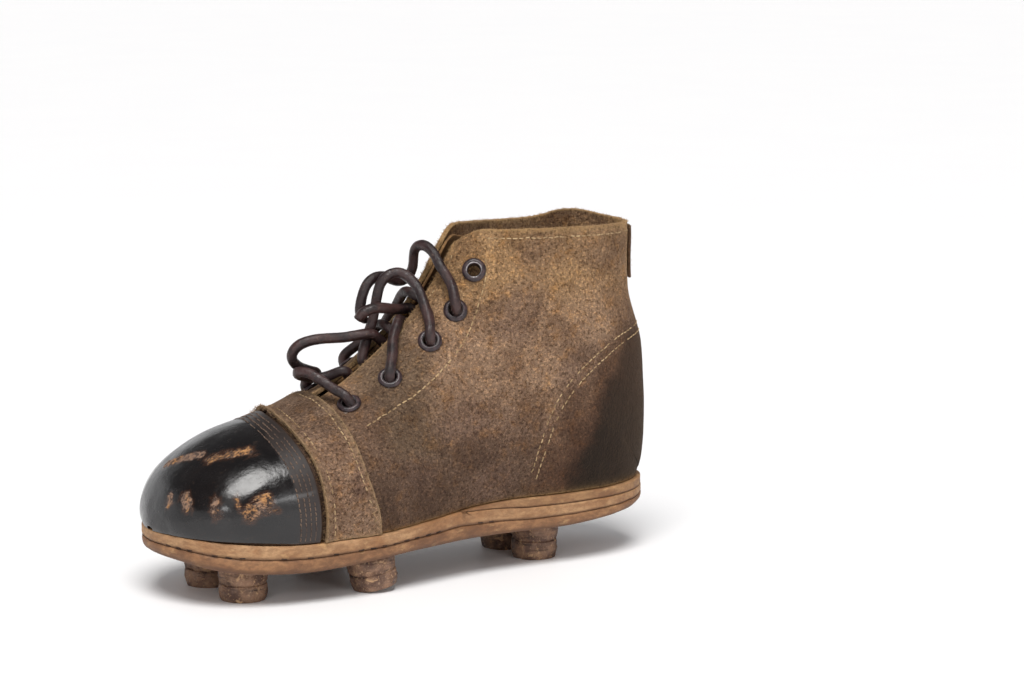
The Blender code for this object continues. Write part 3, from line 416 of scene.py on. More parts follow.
def shell(grid, low, high, rim=0.45, fray=0.12, normals=None, floor=True):
    """A leather shell over a grid, with rounded, slightly uneven cut edges.

    Returns its points, its faces, how near each point is to a cut edge (1 on it), and its outer grid.
    """
    rows, columns = grid.shape[:2]
    if normals is None:
        normals = level_near_sole(grid, grid_normals(grid))
    low = np.broadcast_to(np.asarray(low, float), grid.shape[:2])
    high = np.broadcast_to(np.asarray(high, float), grid.shape[:2])
    loop = boundary(rows, columns)
    out = np.zeros((len(loop), 3))
    for k, (r, c, ri, ci) in enumerate(loop):
        away = grid[r, c] - grid[ri, ci]
        if (r in (0, rows - 1)) and (c in (0, columns - 1)):
            inner_r = 1 if r == 0 else rows - 2
            inner_c = 1 if c == 0 else columns - 2
            away = grid[r, c] - grid[inner_r, inner_c]
        away -= normals[r, c] * (away @ normals[r, c])
        out[k] = away / max(np.linalg.norm(away), 1e-9)
    edge = np.array([grid[r, c] for r, c, _, _ in loop])
    along_normal = np.array([normals[r, c] for r, c, _, _ in loop])
    lows = np.array([low[r, c] for r, c, _, _ in loop])
    highs = np.array([high[r, c] for r, c, _, _ in loop])
    ragged = fray * (wave(edge, 1.1, 1.0) + 0.7 * wave(edge, 3.5, 2.0))
    outer = grid + normals * high[..., None]
    inner = grid + normals * low[..., None]
    for k, (r, c, _, _) in enumerate(loop):
        shift = out[k] * (ragged[k] - rim)
        outer[r, c] += shift
        inner[r, c] += shift
    rings = []
    steps = [(35, False), (65, False), (90, False), (90, True), (65, True), (35, True)]
    for degrees, inward in steps:
        angle = math.radians(degrees)
        outwards = rim * (math.sin(angle) - 1) + ragged
        drop = rim * (1 - math.cos(angle))
        level = lows + drop if inward else highs - drop
        rings.append(edge + out * outwards[:, None] + along_normal * level[:, None])
    points = np.concatenate([outer.reshape(-1, 3), inner.reshape(-1, 3)] + rings)
    if floor:
        points[:, 2] = np.maximum(points[:, 2], sole_top(points[:, 0]) + 0.05)
    size = rows * columns
    n = len(loop)
    faces = []
    for r in range(rows - 1):
        for c in range(columns - 1):
            a = r * columns + c
            faces.append((a, a + columns, a + columns + 1, a + 1))
            faces.append((size + a, size + a + 1, size + a + columns + 1, size + a + columns))
    places = [r * columns + c for r, c, _, _ in loop]
    chain = [places] + [[2 * size + k * n + j for j in range(n)] for k in range(len(rings))]
    chain.append([size + p for p in places])
    for a, b in zip(chain, chain[1:]):
        for j in range(n):
            i = (j + 1) % n
            faces.append((a[j], a[i], b[i], b[j]))
    across = np.linalg.norm(np.diff(grid, axis=1), axis=2).mean()
    down = np.linalg.norm(np.diff(grid, axis=0), axis=2).mean()
    rr, cc = np.meshgrid(np.arange(rows), np.arange(columns), indexing="ij")
    distance = np.minimum(np.minimum(rr, rows - 1 - rr) * down, np.minimum(cc, columns - 1 - cc) * across)
    near_edge = np.exp(-distance / 1.2)
    cut = np.concatenate([near_edge.ravel(), near_edge.ravel(), np.ones(len(rings) * n)])
    return points, faces, cut, outer


def tube_faces(first, rings, sides):
    """Faces between the rings of a tube whose points start at first."""
    faces = []
    for o in range(first, first + (rings - 1) * sides, sides):
        for k in range(sides):
            j = (k + 1) % sides
            faces.append((o + k, o + j, o + sides + j, o + sides + k))
    return faces


def face_outwards(thing):
    work = bmesh.new()
    work.from_mesh(thing.data)
    bmesh.ops.recalc_face_normals(work, faces=work.faces)
    work.to_mesh(thing.data)
    work.free()


def lathe_points(profile, sides):
    """Points and faces turned from (radius, z) about z; radius 0 makes a pole."""
    points = []
    rings = []
    for radius, z in profile:
        if radius == 0:
            rings.append([len(points)])
            points.append((0.0, 0.0, z))
            continue
        rings.append(list(range(len(points), len(points) + sides)))
        for k in range(sides):
            a = 2 * math.pi * k / sides
            points.append((radius * math.cos(a), radius * math.sin(a), z))
    closed = profile[0][0] > 0
    faces = []
    for a, b in zip(rings, rings[1:] + ([rings[0]] if closed else [])):
        for k in range(sides):
            j = (k + 1) % sides
            corners = [a[k % len(a)], a[j % len(a)], b[j % len(b)], b[k % len(b)]]
            unique = list(dict.fromkeys(corners))
            if len(unique) > 2:
                faces.append(tuple(unique))
    return np.array(points), faces


def moved(points, matrix):
    """Points in millimetres through a rotation and translation in millimetres."""
    m = np.array(matrix)
    return points @ m[:3, :3].T + m[:3, 3]


def frame_at(point, axis):
    turn = Vector(axis).to_track_quat("Z", "Y").to_matrix().to_4x4()
    return Matrix.Translation(Vector(point)) @ turn


def tree_of(thing):
    points = [v.co / MM + Vector((CENTRE_X, 0, 0)) for v in thing.data.vertices]
    return BVHTree.FromPolygons(points, [tuple(p.vertices) for p in thing.data.polygons])


# ------------------------------ material building
def tone(red, green, blue):
    """A colour given as it shows on a screen, 0 to 255."""
    screen = [c / 255 for c in (red, green, blue)]
    return tuple(((c + 0.055) / 1.055) ** 2.4 if c > 10 / 255 else c / 12.92 for c in screen)


class Skin:
    """A material under construction: each call adds one node and returns its output."""

    def __init__(self, name):
        self.made = bpy.data.materials.new(name)
        self.made.use_nodes = True
        self.tree = self.made.node_tree
        self.shader = self.tree.nodes["Principled BSDF"]
        self.place = self.node("TexCoord").outputs["Object"]

    def put(self, socket, value):
        if isinstance(value, bpy.types.NodeSocket):
            self.tree.links.new(value, socket)
        elif isinstance(value, tuple):
            socket.default_value = (*value, 1.0) if len(value) == 3 and socket.type == "RGBA" else value
        else:
            socket.default_value = value

    def set(self, **values):
        for key, value in values.items():
            self.put(self.shader.inputs[key.replace("_", " ")], value)

    def node(self, kind, **sockets):
        """A new node of the given kind with some of its sockets filled in."""
        made = self.tree.nodes.new("ShaderNode" + kind)
        for key, value in sockets.items():
            self.put(made.inputs[key], value)
        return made

    def stretched(self, x, y, z):
        return self.node("Mapping", Vector=self.place, Scale=(x, y, z)).outputs["Vector"]

    def noise(self, size, detail=3.0, rough=0.55, where=None, warp=0.0):
        """Noise from 0 to 1 whose bumps are about size millimetres wide."""
        node = self.node("TexNoise", Vector=where or self.place, Scale=1 / (size * MM), Detail=detail,
                         Roughness=rough, Distortion=warp)
        return node.outputs["Fac"]

    def cells(self, size):
        return self.node("TexVoronoi", Vector=self.place, Scale=1 / (size * MM)).outputs["Distance"]

    def attribute(self, label, colour=False):
        node = self.node("Attribute")
        node.attribute_name = label
        return node.outputs["Color" if colour else "Fac"]

    def step(self, value, low, high, out_low=0.0, out_high=1.0):
        """A smooth step of value from low to high."""
        node = self.node("MapRange", Value=value)
        node.interpolation_type = "SMOOTHSTEP"
        for key, number in (("From Min", low), ("From Max", high), ("To Min", out_low), ("To Max", out_high)):
            node.inputs[key].default_value = number
        return node.outputs["Result"]

    def flecks(self, size, detail, rough, low, high, **how):
        """Noise of a size, stepped smoothly from low to high."""
        return self.step(self.noise(size, detail, rough, **how), low, high)

    def maths(self, operation, a, b):
        node = self.node("Math")
        node.operation = operation
        self.put(node.inputs[0], a)
        self.put(node.inputs[1], b)
        return node.outputs["Value"]

    def times(self, a, b):
        return self.maths("MULTIPLY", a, b)

    def mix(self, share, a, b, blend="MIX"):
        node = self.node("Mix")
        node.data_type = "RGBA"
        node.blend_type = blend
        self.put(node.inputs[0], share)
        self.put(node.inputs[6], a)
        self.put(node.inputs[7], b)
        return node.outputs[2]

    def layer(self, under, share, strength, over, blend="MIX"):
        """Lay one colour over another, by a share from 0 to 1 times a strength."""
        return self.mix(self.times(share, strength), under, over, blend)

    def bump(self, height, depth, under=None):
        """Bump of the given depth in millimetres over a height from 0 to 1."""
        node = self.node("Bump", Strength=1.0, Distance=depth * MM, Height=height)
        if under is not None:
            self.put(node.inputs["Normal"], under)
        return node.outputs["Normal"]


def suede_skin(name, flesh, fleck=1.0):
    """Rough-out leather: tint comes from the mesh, broken up by nap, flecks and grime."""
    s = Skin(name)
    fine = s.noise(1.35, 5, 0.78)
    grain = s.noise(0.7, 2, 0.6)
    light = s.flecks(1.3, 4, 0.74, 0.50, 0.62, where=s.stretched(1.0, 1.0, 1.2))
    layers = (
        (s.flecks(15, 4, 0.6, 0.62, 0.34, warp=0.4), 1.0, (0.62, 0.58, 0.56)),
        (s.flecks(6, 4, 0.65, 0.50, 0.70), 0.75, (1.28, 1.10, 0.78)),
        (s.step(fine, 0.505, 0.39), 0.90 * fleck, (0.34, 0.29, 0.26)),
        (light, 0.85 * fleck, (2.0, 1.94, 1.75)),
        (s.step(grain, 0.66, 0.34), 1.0, (0.66, 0.62, 0.60)),
    )
    colour = s.attribute("tint", colour=True)
    for share, strength, factor in layers:
        colour = s.layer(colour, share, strength, factor, "MULTIPLY")
    edge = s.times(s.attribute("edge"), s.step(fine, 0.25, 0.6))
    colour = s.layer(colour, edge, 0.6, flesh)
    height = s.maths("ADD", s.times(fine, 0.7), s.times(grain, 0.3))
    normal = s.bump(height, 0.9, s.bump(s.noise(5, 3, 0.6), 0.6))
    s.set(Base_Color=colour, Roughness=s.step(fine, 0.2, 0.8, 0.95, 0.8), Normal=normal)
    s.set(Sheen_Weight=SHEEN, Sheen_Roughness=0.55, Sheen_Tint=tone(176, 140, 106))
    s.shader.inputs["Specular IOR Level"].default_value = 0.25
    return s.made


def cap_skin():
    """Hard polished leather, nearly black, scuffed through to the tan in streaks."""
    s = Skin("polished_cap")
    streaks = s.noise(3.2, 5, 0.7, where=s.stretched(0.35, 1.0, 1.0), warp=0.5)
    torn = s.noise(1.2, 4, 0.75, where=s.stretched(0.6, 1.0, 1.0))
    scratch = s.flecks(1.6, 3, 0.6, 0.62, 0.78, where=s.stretched(0.12, 1.0, 1.0))
    sewn = s.attribute("sewn")
    worn = s.maths("ADD", s.attribute("scuff"), s.times(s.maths("SUBTRACT", streaks, 0.5), 1.5))
    deep = s.step(worn, 0.52, 0.66)
    base = s.mix(s.flecks(22, 4, 0.6, 0.35, 0.7), tone(10, 7, 8), tone(19, 14, 14))
    base = s.layer(base, s.step(worn, 0.22, 0.6), 0.5, tone(78, 48, 30))
    flesh = s.mix(s.step(torn, 0.38, 0.66), tone(92, 58, 36), tone(184, 134, 82))
    flesh = s.layer(flesh, s.flecks(13, 2, 0.5, 0.46, 0.56), 0.7, tone(128, 106, 94))
    flesh = s.mix(s.step(torn, 0.52, 0.40), flesh, tone(40, 26, 20))
    colour = s.mix(deep, base, flesh)
    colour = s.layer(colour, s.step(s.attribute("edge"), 0.55, 0.95), 0.7, tone(62, 42, 30))
    colour = s.layer(colour, sewn, 0.6, tone(46, 34, 29))
    colour = s.layer(colour, scratch, 0.10, tone(140, 110, 88))
    rough = s.mix(s.flecks(9, 4, 0.6, 0.3, 0.7), (0.17,) * 3, (0.30,) * 3)
    rough = s.layer(s.mix(deep, rough, (0.75,) * 3), sewn, 0.8, (0.6,) * 3)
    normal = s.bump(s.cells(1.3), 0.03, s.bump(s.noise(7, 3, 0.5), 0.30))
    normal = s.bump(s.times(deep, torn), 0.5, normal)
    normal = s.bump(scratch, -0.04, normal)
    s.set(Base_Color=colour, Roughness=rough, Normal=normal)
    s.set(Coat_Weight=s.maths("SUBTRACT", 0.2, s.times(deep, 0.2)))
    s.shader.inputs["Coat Roughness"].default_value = 0.12
    return s.made


def sole_skin(name, light, deep, grime):
    """Cut edges and faces of bridle-tan sole leather with stains along the layers."""
    s = Skin(name)
    grain = s.noise(2.2, 5, 0.7, where=s.stretched(0.7, 0.7, 1.3))
    stain = s.noise(11, 5, 0.62, where=s.stretched(0.6, 0.6, 1.2), warp=0.6)
    pale = s.flecks(4.5, 4, 0.65, 0.60, 0.75, where=s.stretched(0.5, 0.5, 1.0))
    broken = s.flecks(4.0, 3, 0.6, 0.38, 0.56, where=s.stretched(1, 1, 0.4))
    layers = (
        (s.step(grain, 0.62, 0.40), 0.36, grime),
        (s.flecks(3.0, 3, 0.6, 0.70, 0.80), 0.5, tone(56, 34, 22)),
        (pale, 0.45, tone(214, 172, 118)),
        (s.attribute("under"), 0.75, tone(86, 56, 36)),
        (s.times(s.attribute("seam"), broken), 0.6, tone(64, 40, 26)),
    )
    colour = s.mix(s.step(stain, 0.34, 0.66), deep, light)
    for layer in layers:
        colour = s.layer(colour, *layer)
    height = s.maths("ADD", s.times(grain, 0.6), s.times(s.noise(0.7, 3, 0.6), 0.4))
    lines = s.noise(1.0, 2, 0.5, where=s.stretched(0.08, 0.08, 1.5))
    normal = s.bump(lines, 0.10, s.bump(height, 0.35))
    s.set(Base_Color=colour, Roughness=s.step(stain, 0.2, 0.8, 0.55, 0.78), Normal=normal)
    return s.made


def stud_skin():
    """Stacked leather, chipped to paler flesh, with dark lines between its layers."""
    s = Skin("stud_leather")
    layers = s.noise(1.5, 4, 0.65, where=s.stretched(0.12, 0.12, 1.0))
    chips = s.noise(4.2, 5, 0.7, warp=0.5)
    colour = s.mix(s.flecks(6, 4, 0.6, 0.35, 0.65), tone(88, 62, 50), tone(146, 112, 88))
    colour = s.layer(colour, s.step(layers, 0.5, 0.32), 0.75, tone(34, 19, 14))
    colour = s.layer(colour, s.step(chips, 0.56, 0.66), 0.8, tone(206, 166, 126))
    colour = s.layer(colour, s.flecks(1.0, 3, 0.7, 0.56, 0.68), 0.6, tone(190, 156, 122))
    normal = s.bump(chips, 0.9, s.bump(layers, 0.5))
    s.set(Base_Color=colour, Roughness=s.step(chips, 0.3, 0.7, 0.45, 0.85), Normal=normal)
    return s.made


def lace_skin():
    s = Skin("thong_lace")
    scrape = s.noise(1.5, 4, 0.7, warp=0.3)
    colour = s.mix(s.flecks(14, 3, 0.5, 0.40, 0.62), tone(34, 18, 20), tone(62, 40, 38))
    colour = s.layer(colour, s.step(scrape, 0.56, 0.72), 0.5, tone(112, 90, 78))
    colour = s.layer(colour, s.flecks(3.5, 3, 0.6, 0.50, 0.36), 0.6, tone(22, 14, 15))
    normal = s.bump(scrape, 0.30, s.bump(s.noise(4, 3, 0.6), 0.45))
    s.set(Base_Color=colour, Roughness=s.step(scrape, 0.3, 0.7, 0.30, 0.62), Normal=normal)
    return s.made


def eyelet_skin():
    """Dark enamel, worn to bright metal where the mesh says so."""
    s = Skin("eyelet_enamel")
    patchy = s.times(s.maths("SUBTRACT", s.noise(1.6, 4, 0.7), 0.5), 1.1)
    metal = s.step(s.maths("ADD", s.attribute("worn"), patchy), 0.50, 0.62)
    enamel = s.mix(s.flecks(2.5, 3, 0.6, 0.4, 0.65), tone(36, 26, 30), tone(66, 48, 50))
    s.set(Base_Color=s.mix(metal, enamel, tone(178, 172, 172)), Metallic=s.times(metal, 0.95))
    s.set(Roughness=s.mix(metal, (0.38,) * 3, (0.28,) * 3), Normal=s.bump(s.noise(1.0, 3, 0.6), 0.10))
    return s.made


def thread_skin(name, light, dark):
    s = Skin(name)
    twist = s.noise(0.35, 2, 0.5)
    colour = s.mix(s.flecks(5, 3, 0.6, 0.36, 0.64), dark, light)
    colour = s.layer(colour, s.step(twist, 0.55, 0.35), 0.5, dark)
    s.set(Base_Color=colour, Roughness=s.step(twist, 0.3, 0.7, 0.75, 0.95), Normal=s.bump(twist, 0.08))
    return s.made


def steel_skin():
    s = Skin("nail_steel")
    rust = s.flecks(1.2, 4, 0.7, 0.45, 0.65)
    s.set(Base_Color=s.mix(rust, tone(138, 132, 126), tone(92, 58, 38)))
    s.set(Metallic=s.maths("SUBTRACT", 1.0, s.times(rust, 0.8)))
    s.set(Roughness=s.step(s.noise(0.8, 3, 0.6), 0.3, 0.7, 0.35, 0.65))
    s.set(Normal=s.bump(s.noise(0.6, 3, 0.6), 0.10))
    return s.made


def lining_skin(name, light, dark):
    s = Skin(name)
    pores = s.noise(0.9, 3, 0.65)
    colour = s.mix(s.flecks(12, 4, 0.6, 0.35, 0.68, warp=0.4), dark, light)
    colour = s.layer(colour, s.step(pores, 0.48, 0.34), 0.5, tone(48, 32, 22))
    colour = s.layer(colour, s.flecks(2.2, 3, 0.6, 0.6, 0.74), 0.35, tone(176, 138, 92))
    normal = s.bump(pores, 0.22, s.bump(s.noise(6, 3, 0.6), 0.5))
    s.set(Base_Color=colour, Roughness=s.step(pores, 0.2, 0.8, 0.92, 0.74), Normal=normal)
    return s.made


def fuzz_skin():
    s = Skin("nap_fibres")
    tint = s.attribute("tint", colour=True)
    s.set(Base_Color=s.mix(s.flecks(2.5, 2, 0.5, 0.3, 0.7), tint, tone(160, 130, 90)), Roughness=0.9)
    return s.made


SKINS = {
    "suede": suede_skin("rough_suede", tone(176, 143, 98)),
    "strap": suede_skin("strap_suede", tone(170, 142, 104), 1.15),
    "strip": suede_skin("strip_suede", tone(72, 50, 38)),
    "cap": cap_skin(),
    "outsole": sole_skin("outsole_leather", tone(162, 118, 80), tone(122, 82, 52), tone(74, 48, 32)),
    "midsole": sole_skin("midsole_leather", tone(184, 144, 104), tone(150, 106, 68), tone(92, 60, 38)),
    "wedge": sole_skin("wedge_leather", tone(166, 126, 86), tone(132, 92, 58), tone(88, 58, 38)),
    "stud": stud_skin(),
    "lace": lace_skin(),
    "eyelet": eyelet_skin(),
    "pale_thread": thread_skin("pale_thread", tone(198, 170, 128), tone(142, 116, 82)),
    "brown_thread": thread_skin("brown_thread", tone(120, 98, 82), tone(74, 58, 50)),
    "dark_thread": thread_skin("sole_thread", tone(66, 42, 30), tone(38, 24, 18)),
    "nail": steel_skin(),
    "lining": lining_skin("boot_lining", tone(140, 102, 64), tone(92, 62, 40)),
    "facing": lining_skin("facing_leather", tone(150, 112, 68), tone(104, 74, 46)),
    "insole": lining_skin("insole_leather", tone(126, 92, 62), tone(84, 58, 38)),
    "fuzz": fuzz_skin(),
}


# ------------------------------ camera, light and floor
def make_camera():
    data = bpy.data.cameras.new("camera")
    data.lens = LENS
    data.sensor_width = SENSOR
    data.clip_end = 50.0
    camera = linked("camera", data)
    camera.location = (np.array(CAMERA_AT) - (CENTRE_X, 0.0, 0.0)) * MM
    camera.rotation_euler = (math.radians(CAMERA_TILT), 0.0, math.radians(CAMERA_TURN))
    bpy.context.scene.camera = camera


def area_light(name, where, aim, width, height, power):
    data = bpy.data.lights.new(name, "AREA")
    data.shape = "RECTANGLE"
    data.size = width
    data.size_y = height
    data.energy = power
    lamp = linked(name, data)
    lamp.location = where
    lamp.rotation_euler = (Vector(aim) - Vector(where)).to_track_quat("-Z", "Y").to_euler()


def make_sky(tree):
    """White to the eye, even for rough surfaces, dim with a bright low band for glossy ones."""
    nodes = tree.nodes
    back = nodes["Background"]
    path = nodes.new("ShaderNodeLightPath")
    way = nodes.new("ShaderNodeSeparateXYZ")
    tree.links.new(nodes.new("ShaderNodeTexCoord").outputs["Generated"], way.inputs["Vector"])
    climb = nodes.new("ShaderNodeMapRange")
    climb.interpolation_type = "SMOOTHSTEP"
    for key, number in (("From Min", 0.22), ("From Max", 0.44), ("To Min", SKY_LOW), ("To Max", SKY_HIGH)):
        climb.inputs[key].default_value = number
    tree.links.new(way.outputs["Z"], climb.inputs["Value"])
    room = nodes.new("ShaderNodeMix")
    tree.links.new(path.outputs["Is Glossy Ray"], room.inputs[0])
    room.inputs[2].default_value = SKY_FOR_ROUGH
    tree.links.new(climb.outputs["Result"], room.inputs[3])
    pick = nodes.new("ShaderNodeMix")
    tree.links.new(path.outputs["Is Camera Ray"], pick.inputs[0])
    tree.links.new(room.outputs[0], pick.inputs[2])
    pick.inputs[3].default_value = 1.0
    back.inputs["Color"].default_value = (0.985, 0.99, 1.0, 1.0)
    tree.links.new(pick.outputs[0], back.inputs["Strength"])


def make_studio():
    world = bpy.data.worlds.new("studio")
    world.use_nodes = True
    bpy.context.scene.world = world
    make_sky(world.node_tree)
    data = bpy.data.lights.new("softbox", "SUN")
    data.energy = SUN_ENERGY
    data.angle = math.radians(SUN_SPREAD)
    data.color = (1.0, 0.985, 0.965)
    linked("softbox", data).rotation_euler = Vector(SUN_FROM).to_track_quat("Z", "Y").to_euler()
    area_light("low_left", (-0.98, -0.80, 0.55), (-0.08, -0.03, 0.05), 0.24, 0.16, 1.6)
    area_light("low_right", (0.14, -1.15, 0.42), AIM, 0.30, 0.14, 1.2)
    skin = Skin("studio_floor")
    pale = skin.mix(skin.noise(120, 2, 0.5), tone(249, 249, 251), tone(252, 252, 253))
    skin.set(Base_Color=pale, Roughness=0.5)
    mesh = bpy.data.meshes.new("studio_floor")
    corners = [(x * FLOOR_HALF, y * FLOOR_HALF, 0) for x, y in ((-1, -1), (1, -1), (1, 1), (-1, 1))]
    mesh.from_pydata(corners, [], [(0, 1, 2, 3)])
    mesh.materials.append(skin.made)
    linked("studio_floor", mesh)
    bpy.context.scene.view_settings.view_transform = "Standard"


# ------------------------------ colour and relief by place
COUNTER_LINE_X = (40.0, 44.4, 49.1, 55.5, 64.4, 79.3, 92.8, 112.0)
COUNTER_LINE_Z = (28.0, 40.3, 54.1, 67.6, 77.9, 87.6, 93.1, 97.0)


def blend(base, other, share):
    return base + (np.asarray(other) - base) * np.asarray(share)[:, None]


def suede_tint_and_fold_shade(points):
    """Suede colour: golden at the ankle, darker to the sole, nearly black round the heel, with painted shade
    in the fold behind the strap.
    """
    points = np.asarray(points, float).reshape(-1, 3)
    x = points[:, 0] + 6 * wave(points, 17, 3)
    z = points[:, 2] + 6 * wave(points, 19, 4)
    made = np.tile(np.array(tone(94, 74, 61)), (len(points), 1))
    made = blend(made, tone(117, 94, 78), ease(42, 62, z))
    made = blend(made, tone(150, 123, 100), ease(60, 88, z))
    made = blend(made, tone(158, 127, 92), ease(96, 124, z))
    made = blend(made, tone(110, 88, 76), 0.55 * ease(0.05, 0.4, wave(points, 26, 13)))
    # Painted shade: a darker patch over the flex fold just behind the instep strap.
    made = blend(made, tone(92, 76, 60), 0.75 * ease(-32, -18, x) * ease(8, -8, x) * ease(46, 58, z))
    line = np.interp(points[:, 0], COUNTER_LINE_X, COUNTER_LINE_Z)
    inside = line - points[:, 2] + 5 * wave(points, 9, 5)
    inside = np.where(points[:, 0] < COUNTER_LINE_X[0], -20.0, inside)
    made = blend(made, tone(88, 62, 46), 0.5 * ease(-3, 12, inside))
    reach = x - 52 - 0.75 * np.clip(z - 42, 0, 60) + 4 * wave(points, 7, 9) + 2.5 * wave(points, 3.2, 15)
    fade = ease(112, 84, z)
    made = blend(made, tone(74, 50, 36), 0.8 * ease(-8, 6, reach) * fade)
    made = blend(made, tone(38, 21, 14), 0.94 * ease(3, 14, reach) * fade)
    made = blend(made, tone(12, 6, 4), 0.92 * ease(5, 18, reach) * ease(82, 54, z))
    return blend(made, tone(66, 46, 36), 0.6 * ease(98, 110, x) * ease(122, 104, z) * (1 - fade))


def strip_tint(points):
    made = suede_tint_and_fold_shade(points)
    return blend(made, tone(58, 40, 31), np.full(len(made), 0.7))


def strap_tint(points):
    points = np.asarray(points, float).reshape(-1, 3)
    made = np.tile(np.array(tone(142, 116, 96)), (len(points), 1))
    patch = wave(points, 14, 6)
    made = blend(made, tone(104, 80, 68), 0.8 * ease(0.0, 0.35, patch))
    return blend(made, tone(98, 80, 68), 0.8 * ease(60, 72, points[:, 2] + 4 * patch))


def relief(points):
    """How far worn leather stands off its last, in millimetres: hollows, swells and flexing creases."""
    points = np.asarray(points, float)
    x, z = points[..., 0], points[..., 2]
    made = 0.28 * wave(points, 21, 7) + 0.14 * wave(points, 8, 8)
    flex = np.exp(-((x + 4) / 20) ** 2) * ease(28, 40, z) * ease(84, 66, z)
    lean = (x * 0.86 + z * 0.5) / 8.5 + 0.8 * wave(points, 26, 9)
    made = made + flex * (0.45 * np.sin(lean * 2 * math.pi) - 0.2)
    ankle = ease(84, 100, z) * ease(136, 122, z) * ease(0, 30, x)
    return made + 0.35 * ankle * wave(points, 30, 10)


def refined(values, times):
    """A table with every step between its values split into equal parts."""
    steps = len(values) - 1
    return np.interp(np.linspace(0, steps, steps * times + 1), range(len(values)), values)


def add_fuzz(name, anchors, ways, normals, count, longest):
    """Short loose fibres standing on anchors, each a thin three-sided spike with a bend."""
    pick = RNG.integers(0, len(anchors), count)
    base = anchors[pick] + RNG.normal(0, 0.35, (count, 3)) * 0.6
    way = ways[pick] * RNG.uniform(0.5, 1.0, (count, 1)) + normals[pick] * RNG.normal(0.1, 0.45, (count, 1))
    way += RNG.normal(0, 0.28, (count, 3))
    way /= np.linalg.norm(way, axis=1, keepdims=True)
    size = longest * RNG.uniform(0.15, 1.0, (count, 1)) ** 1.6
    side = np.cross(way, RNG.normal(0, 1, (count, 3)))
    side /= np.linalg.norm(side, axis=1, keepdims=True)
    other = np.cross(way, side)
    width = FIBRE_THICK * RNG.uniform(0.6, 1.2, (count, 1))
    bend = side * size * RNG.uniform(-0.35, 0.35, (count, 1))
    rings = []
    for reach, share, swing in ((-0.25, 1.0, 0.0), (0.55, 0.75, 0.45)):
        centre = base + way * size * reach + bend * swing
        for k in range(3):
            a = 2 * math.pi * k / 3
            rings.append(centre + (side * math.cos(a) + other * math.sin(a)) * width * share)
    rings.append(base + way * size + bend)
    points = np.stack(rings, axis=1).reshape(-1, 3)
    faces = []
    for i in range(count):
        o = 7 * i
        faces.append((o, o + 2, o + 1))
        for k in range(3):
            j = (k + 1) % 3
            faces.append((o + k, o + j, o + 3 + j, o + 3 + k))
            faces.append((o + 3 + k, o + 3 + j, o + 6))
    tints = suede_tint_and_fold_shade(base) * RNG.uniform(0.8, 1.7, (count, 1))
    tints = np.repeat(tints, 7, axis=0)
    make_object(name, points, faces, "fuzz", attributes={"tint": tints}, shade=False)


def edge_fuzz(name, grid, outer, count, longest, keep=None):
    """Fibres along the cut edges of a shell made over grid."""
    rows, columns = grid.shape[:2]
    anchors = []
    ways = []
    normals = []
    surface = grid_normals(outer)
    for r, c, ri, ci in boundary(rows, columns):
        if keep is not None and not keep(r, c):
            continue
        away = outer[r, c] - outer[ri, ci]
        away /= max(np.linalg.norm(away), 1e-9)
        for depth in (0.1, 0.9, 1.7):
            anchors.append(outer[r, c] - surface[r, c] * depth)
            ways.append(away if depth > 0.2 else away * 0.6 + surface[r, c] * 0.8)
            normals.append(surface[r, c])
    add_fuzz(name, np.array(anchors), np.array(ways), np.array(normals), count, longest)


# ------------------------------ stitches
def lay_on(tree, points):
    """The nearest places on a surface and its normals there."""
    places = []
    normals = []
    for p in points:
        where, normal, _, _ = tree.find_nearest(Vector(p))
        if normal.dot(Vector(p) - where) < 0:
            normal = -normal
        places.append(where)
        normals.append(normal)
    return np.array(places), np.array(normals)


def stitch_row(name, path, tree, kind):
    """A row of single thread stitches lying on a surface, each dipping into the leather at its ends."""
    skin, pitch, length, radius, proud, lost, slot = STITCHES[kind]
    arc = arc_lengths(path)
    points = []
    faces = []
    shares = np.array([0.0, 0.1, 0.3, 0.5, 0.7, 0.9, 1.0])
    lifts = np.array([-1.2, 0.1, 0.8, 1.0, 0.8, 0.1, -1.2])
    fat = np.array([0.7, 0.95, 1.0, 1.0, 1.0, 0.95, 0.7])
    sides = THREAD_SIDES
    rings = len(shares)
    for start in np.arange(0.4, arc[-1] - length, pitch):
        if RNG.random() < lost:
            continue
        long = length * RNG.uniform(0.88, 1.08)
        places, normals = lay_on(tree, along(path, start + shares * long))
        places = places + normals * (lifts * proud * radius)[:, None]
        ahead = np.gradient(places, axis=0)
        ahead /= np.linalg.norm(ahead, axis=1, keepdims=True)
        beside = np.cross(ahead, normals)
        places = places + beside * RNG.normal(0, 0.07)
        places = places + beside * np.linspace(-1, 1, rings)[:, None] * RNG.normal(0, 0.10)
        first = len(points)
        for p, n, b, f in zip(places, normals, beside, fat):
            for k in range(sides):
                a = 2 * math.pi * k / sides
                points.append(p + (b * math.cos(a) + n * math.sin(a) * 0.85) * radius * f)
        faces += tube_faces(first, rings, sides)
        faces.append(tuple(range(first + sides - 1, first - 1, -1)))
        faces.append(tuple(range(first + (rings - 1) * sides, first + rings * sides)))
    make_object(name, points, faces, skin)


def inset_row(outer, side, distance, start=0.0, end=1.0):
    """A path on a shell's outer grid at a distance from one edge: first, last, left or right."""
    if side in ("left", "right"):
        outer = np.transpose(outer, (1, 0, 2))
    lines = outer if side in ("first", "left") else outer[::-1]
    path = np.array([along(lines[:, c], [distance])[0] for c in range(lines.shape[1])])
    keep = slice(int(start * len(path)), int(end * len(path)))
    return path[keep]


# ------------------------------ upper
def stand_for(thing, node):
    """The piece shows in place of a CAD node."""
    face_outwards(thing)
    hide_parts(node)


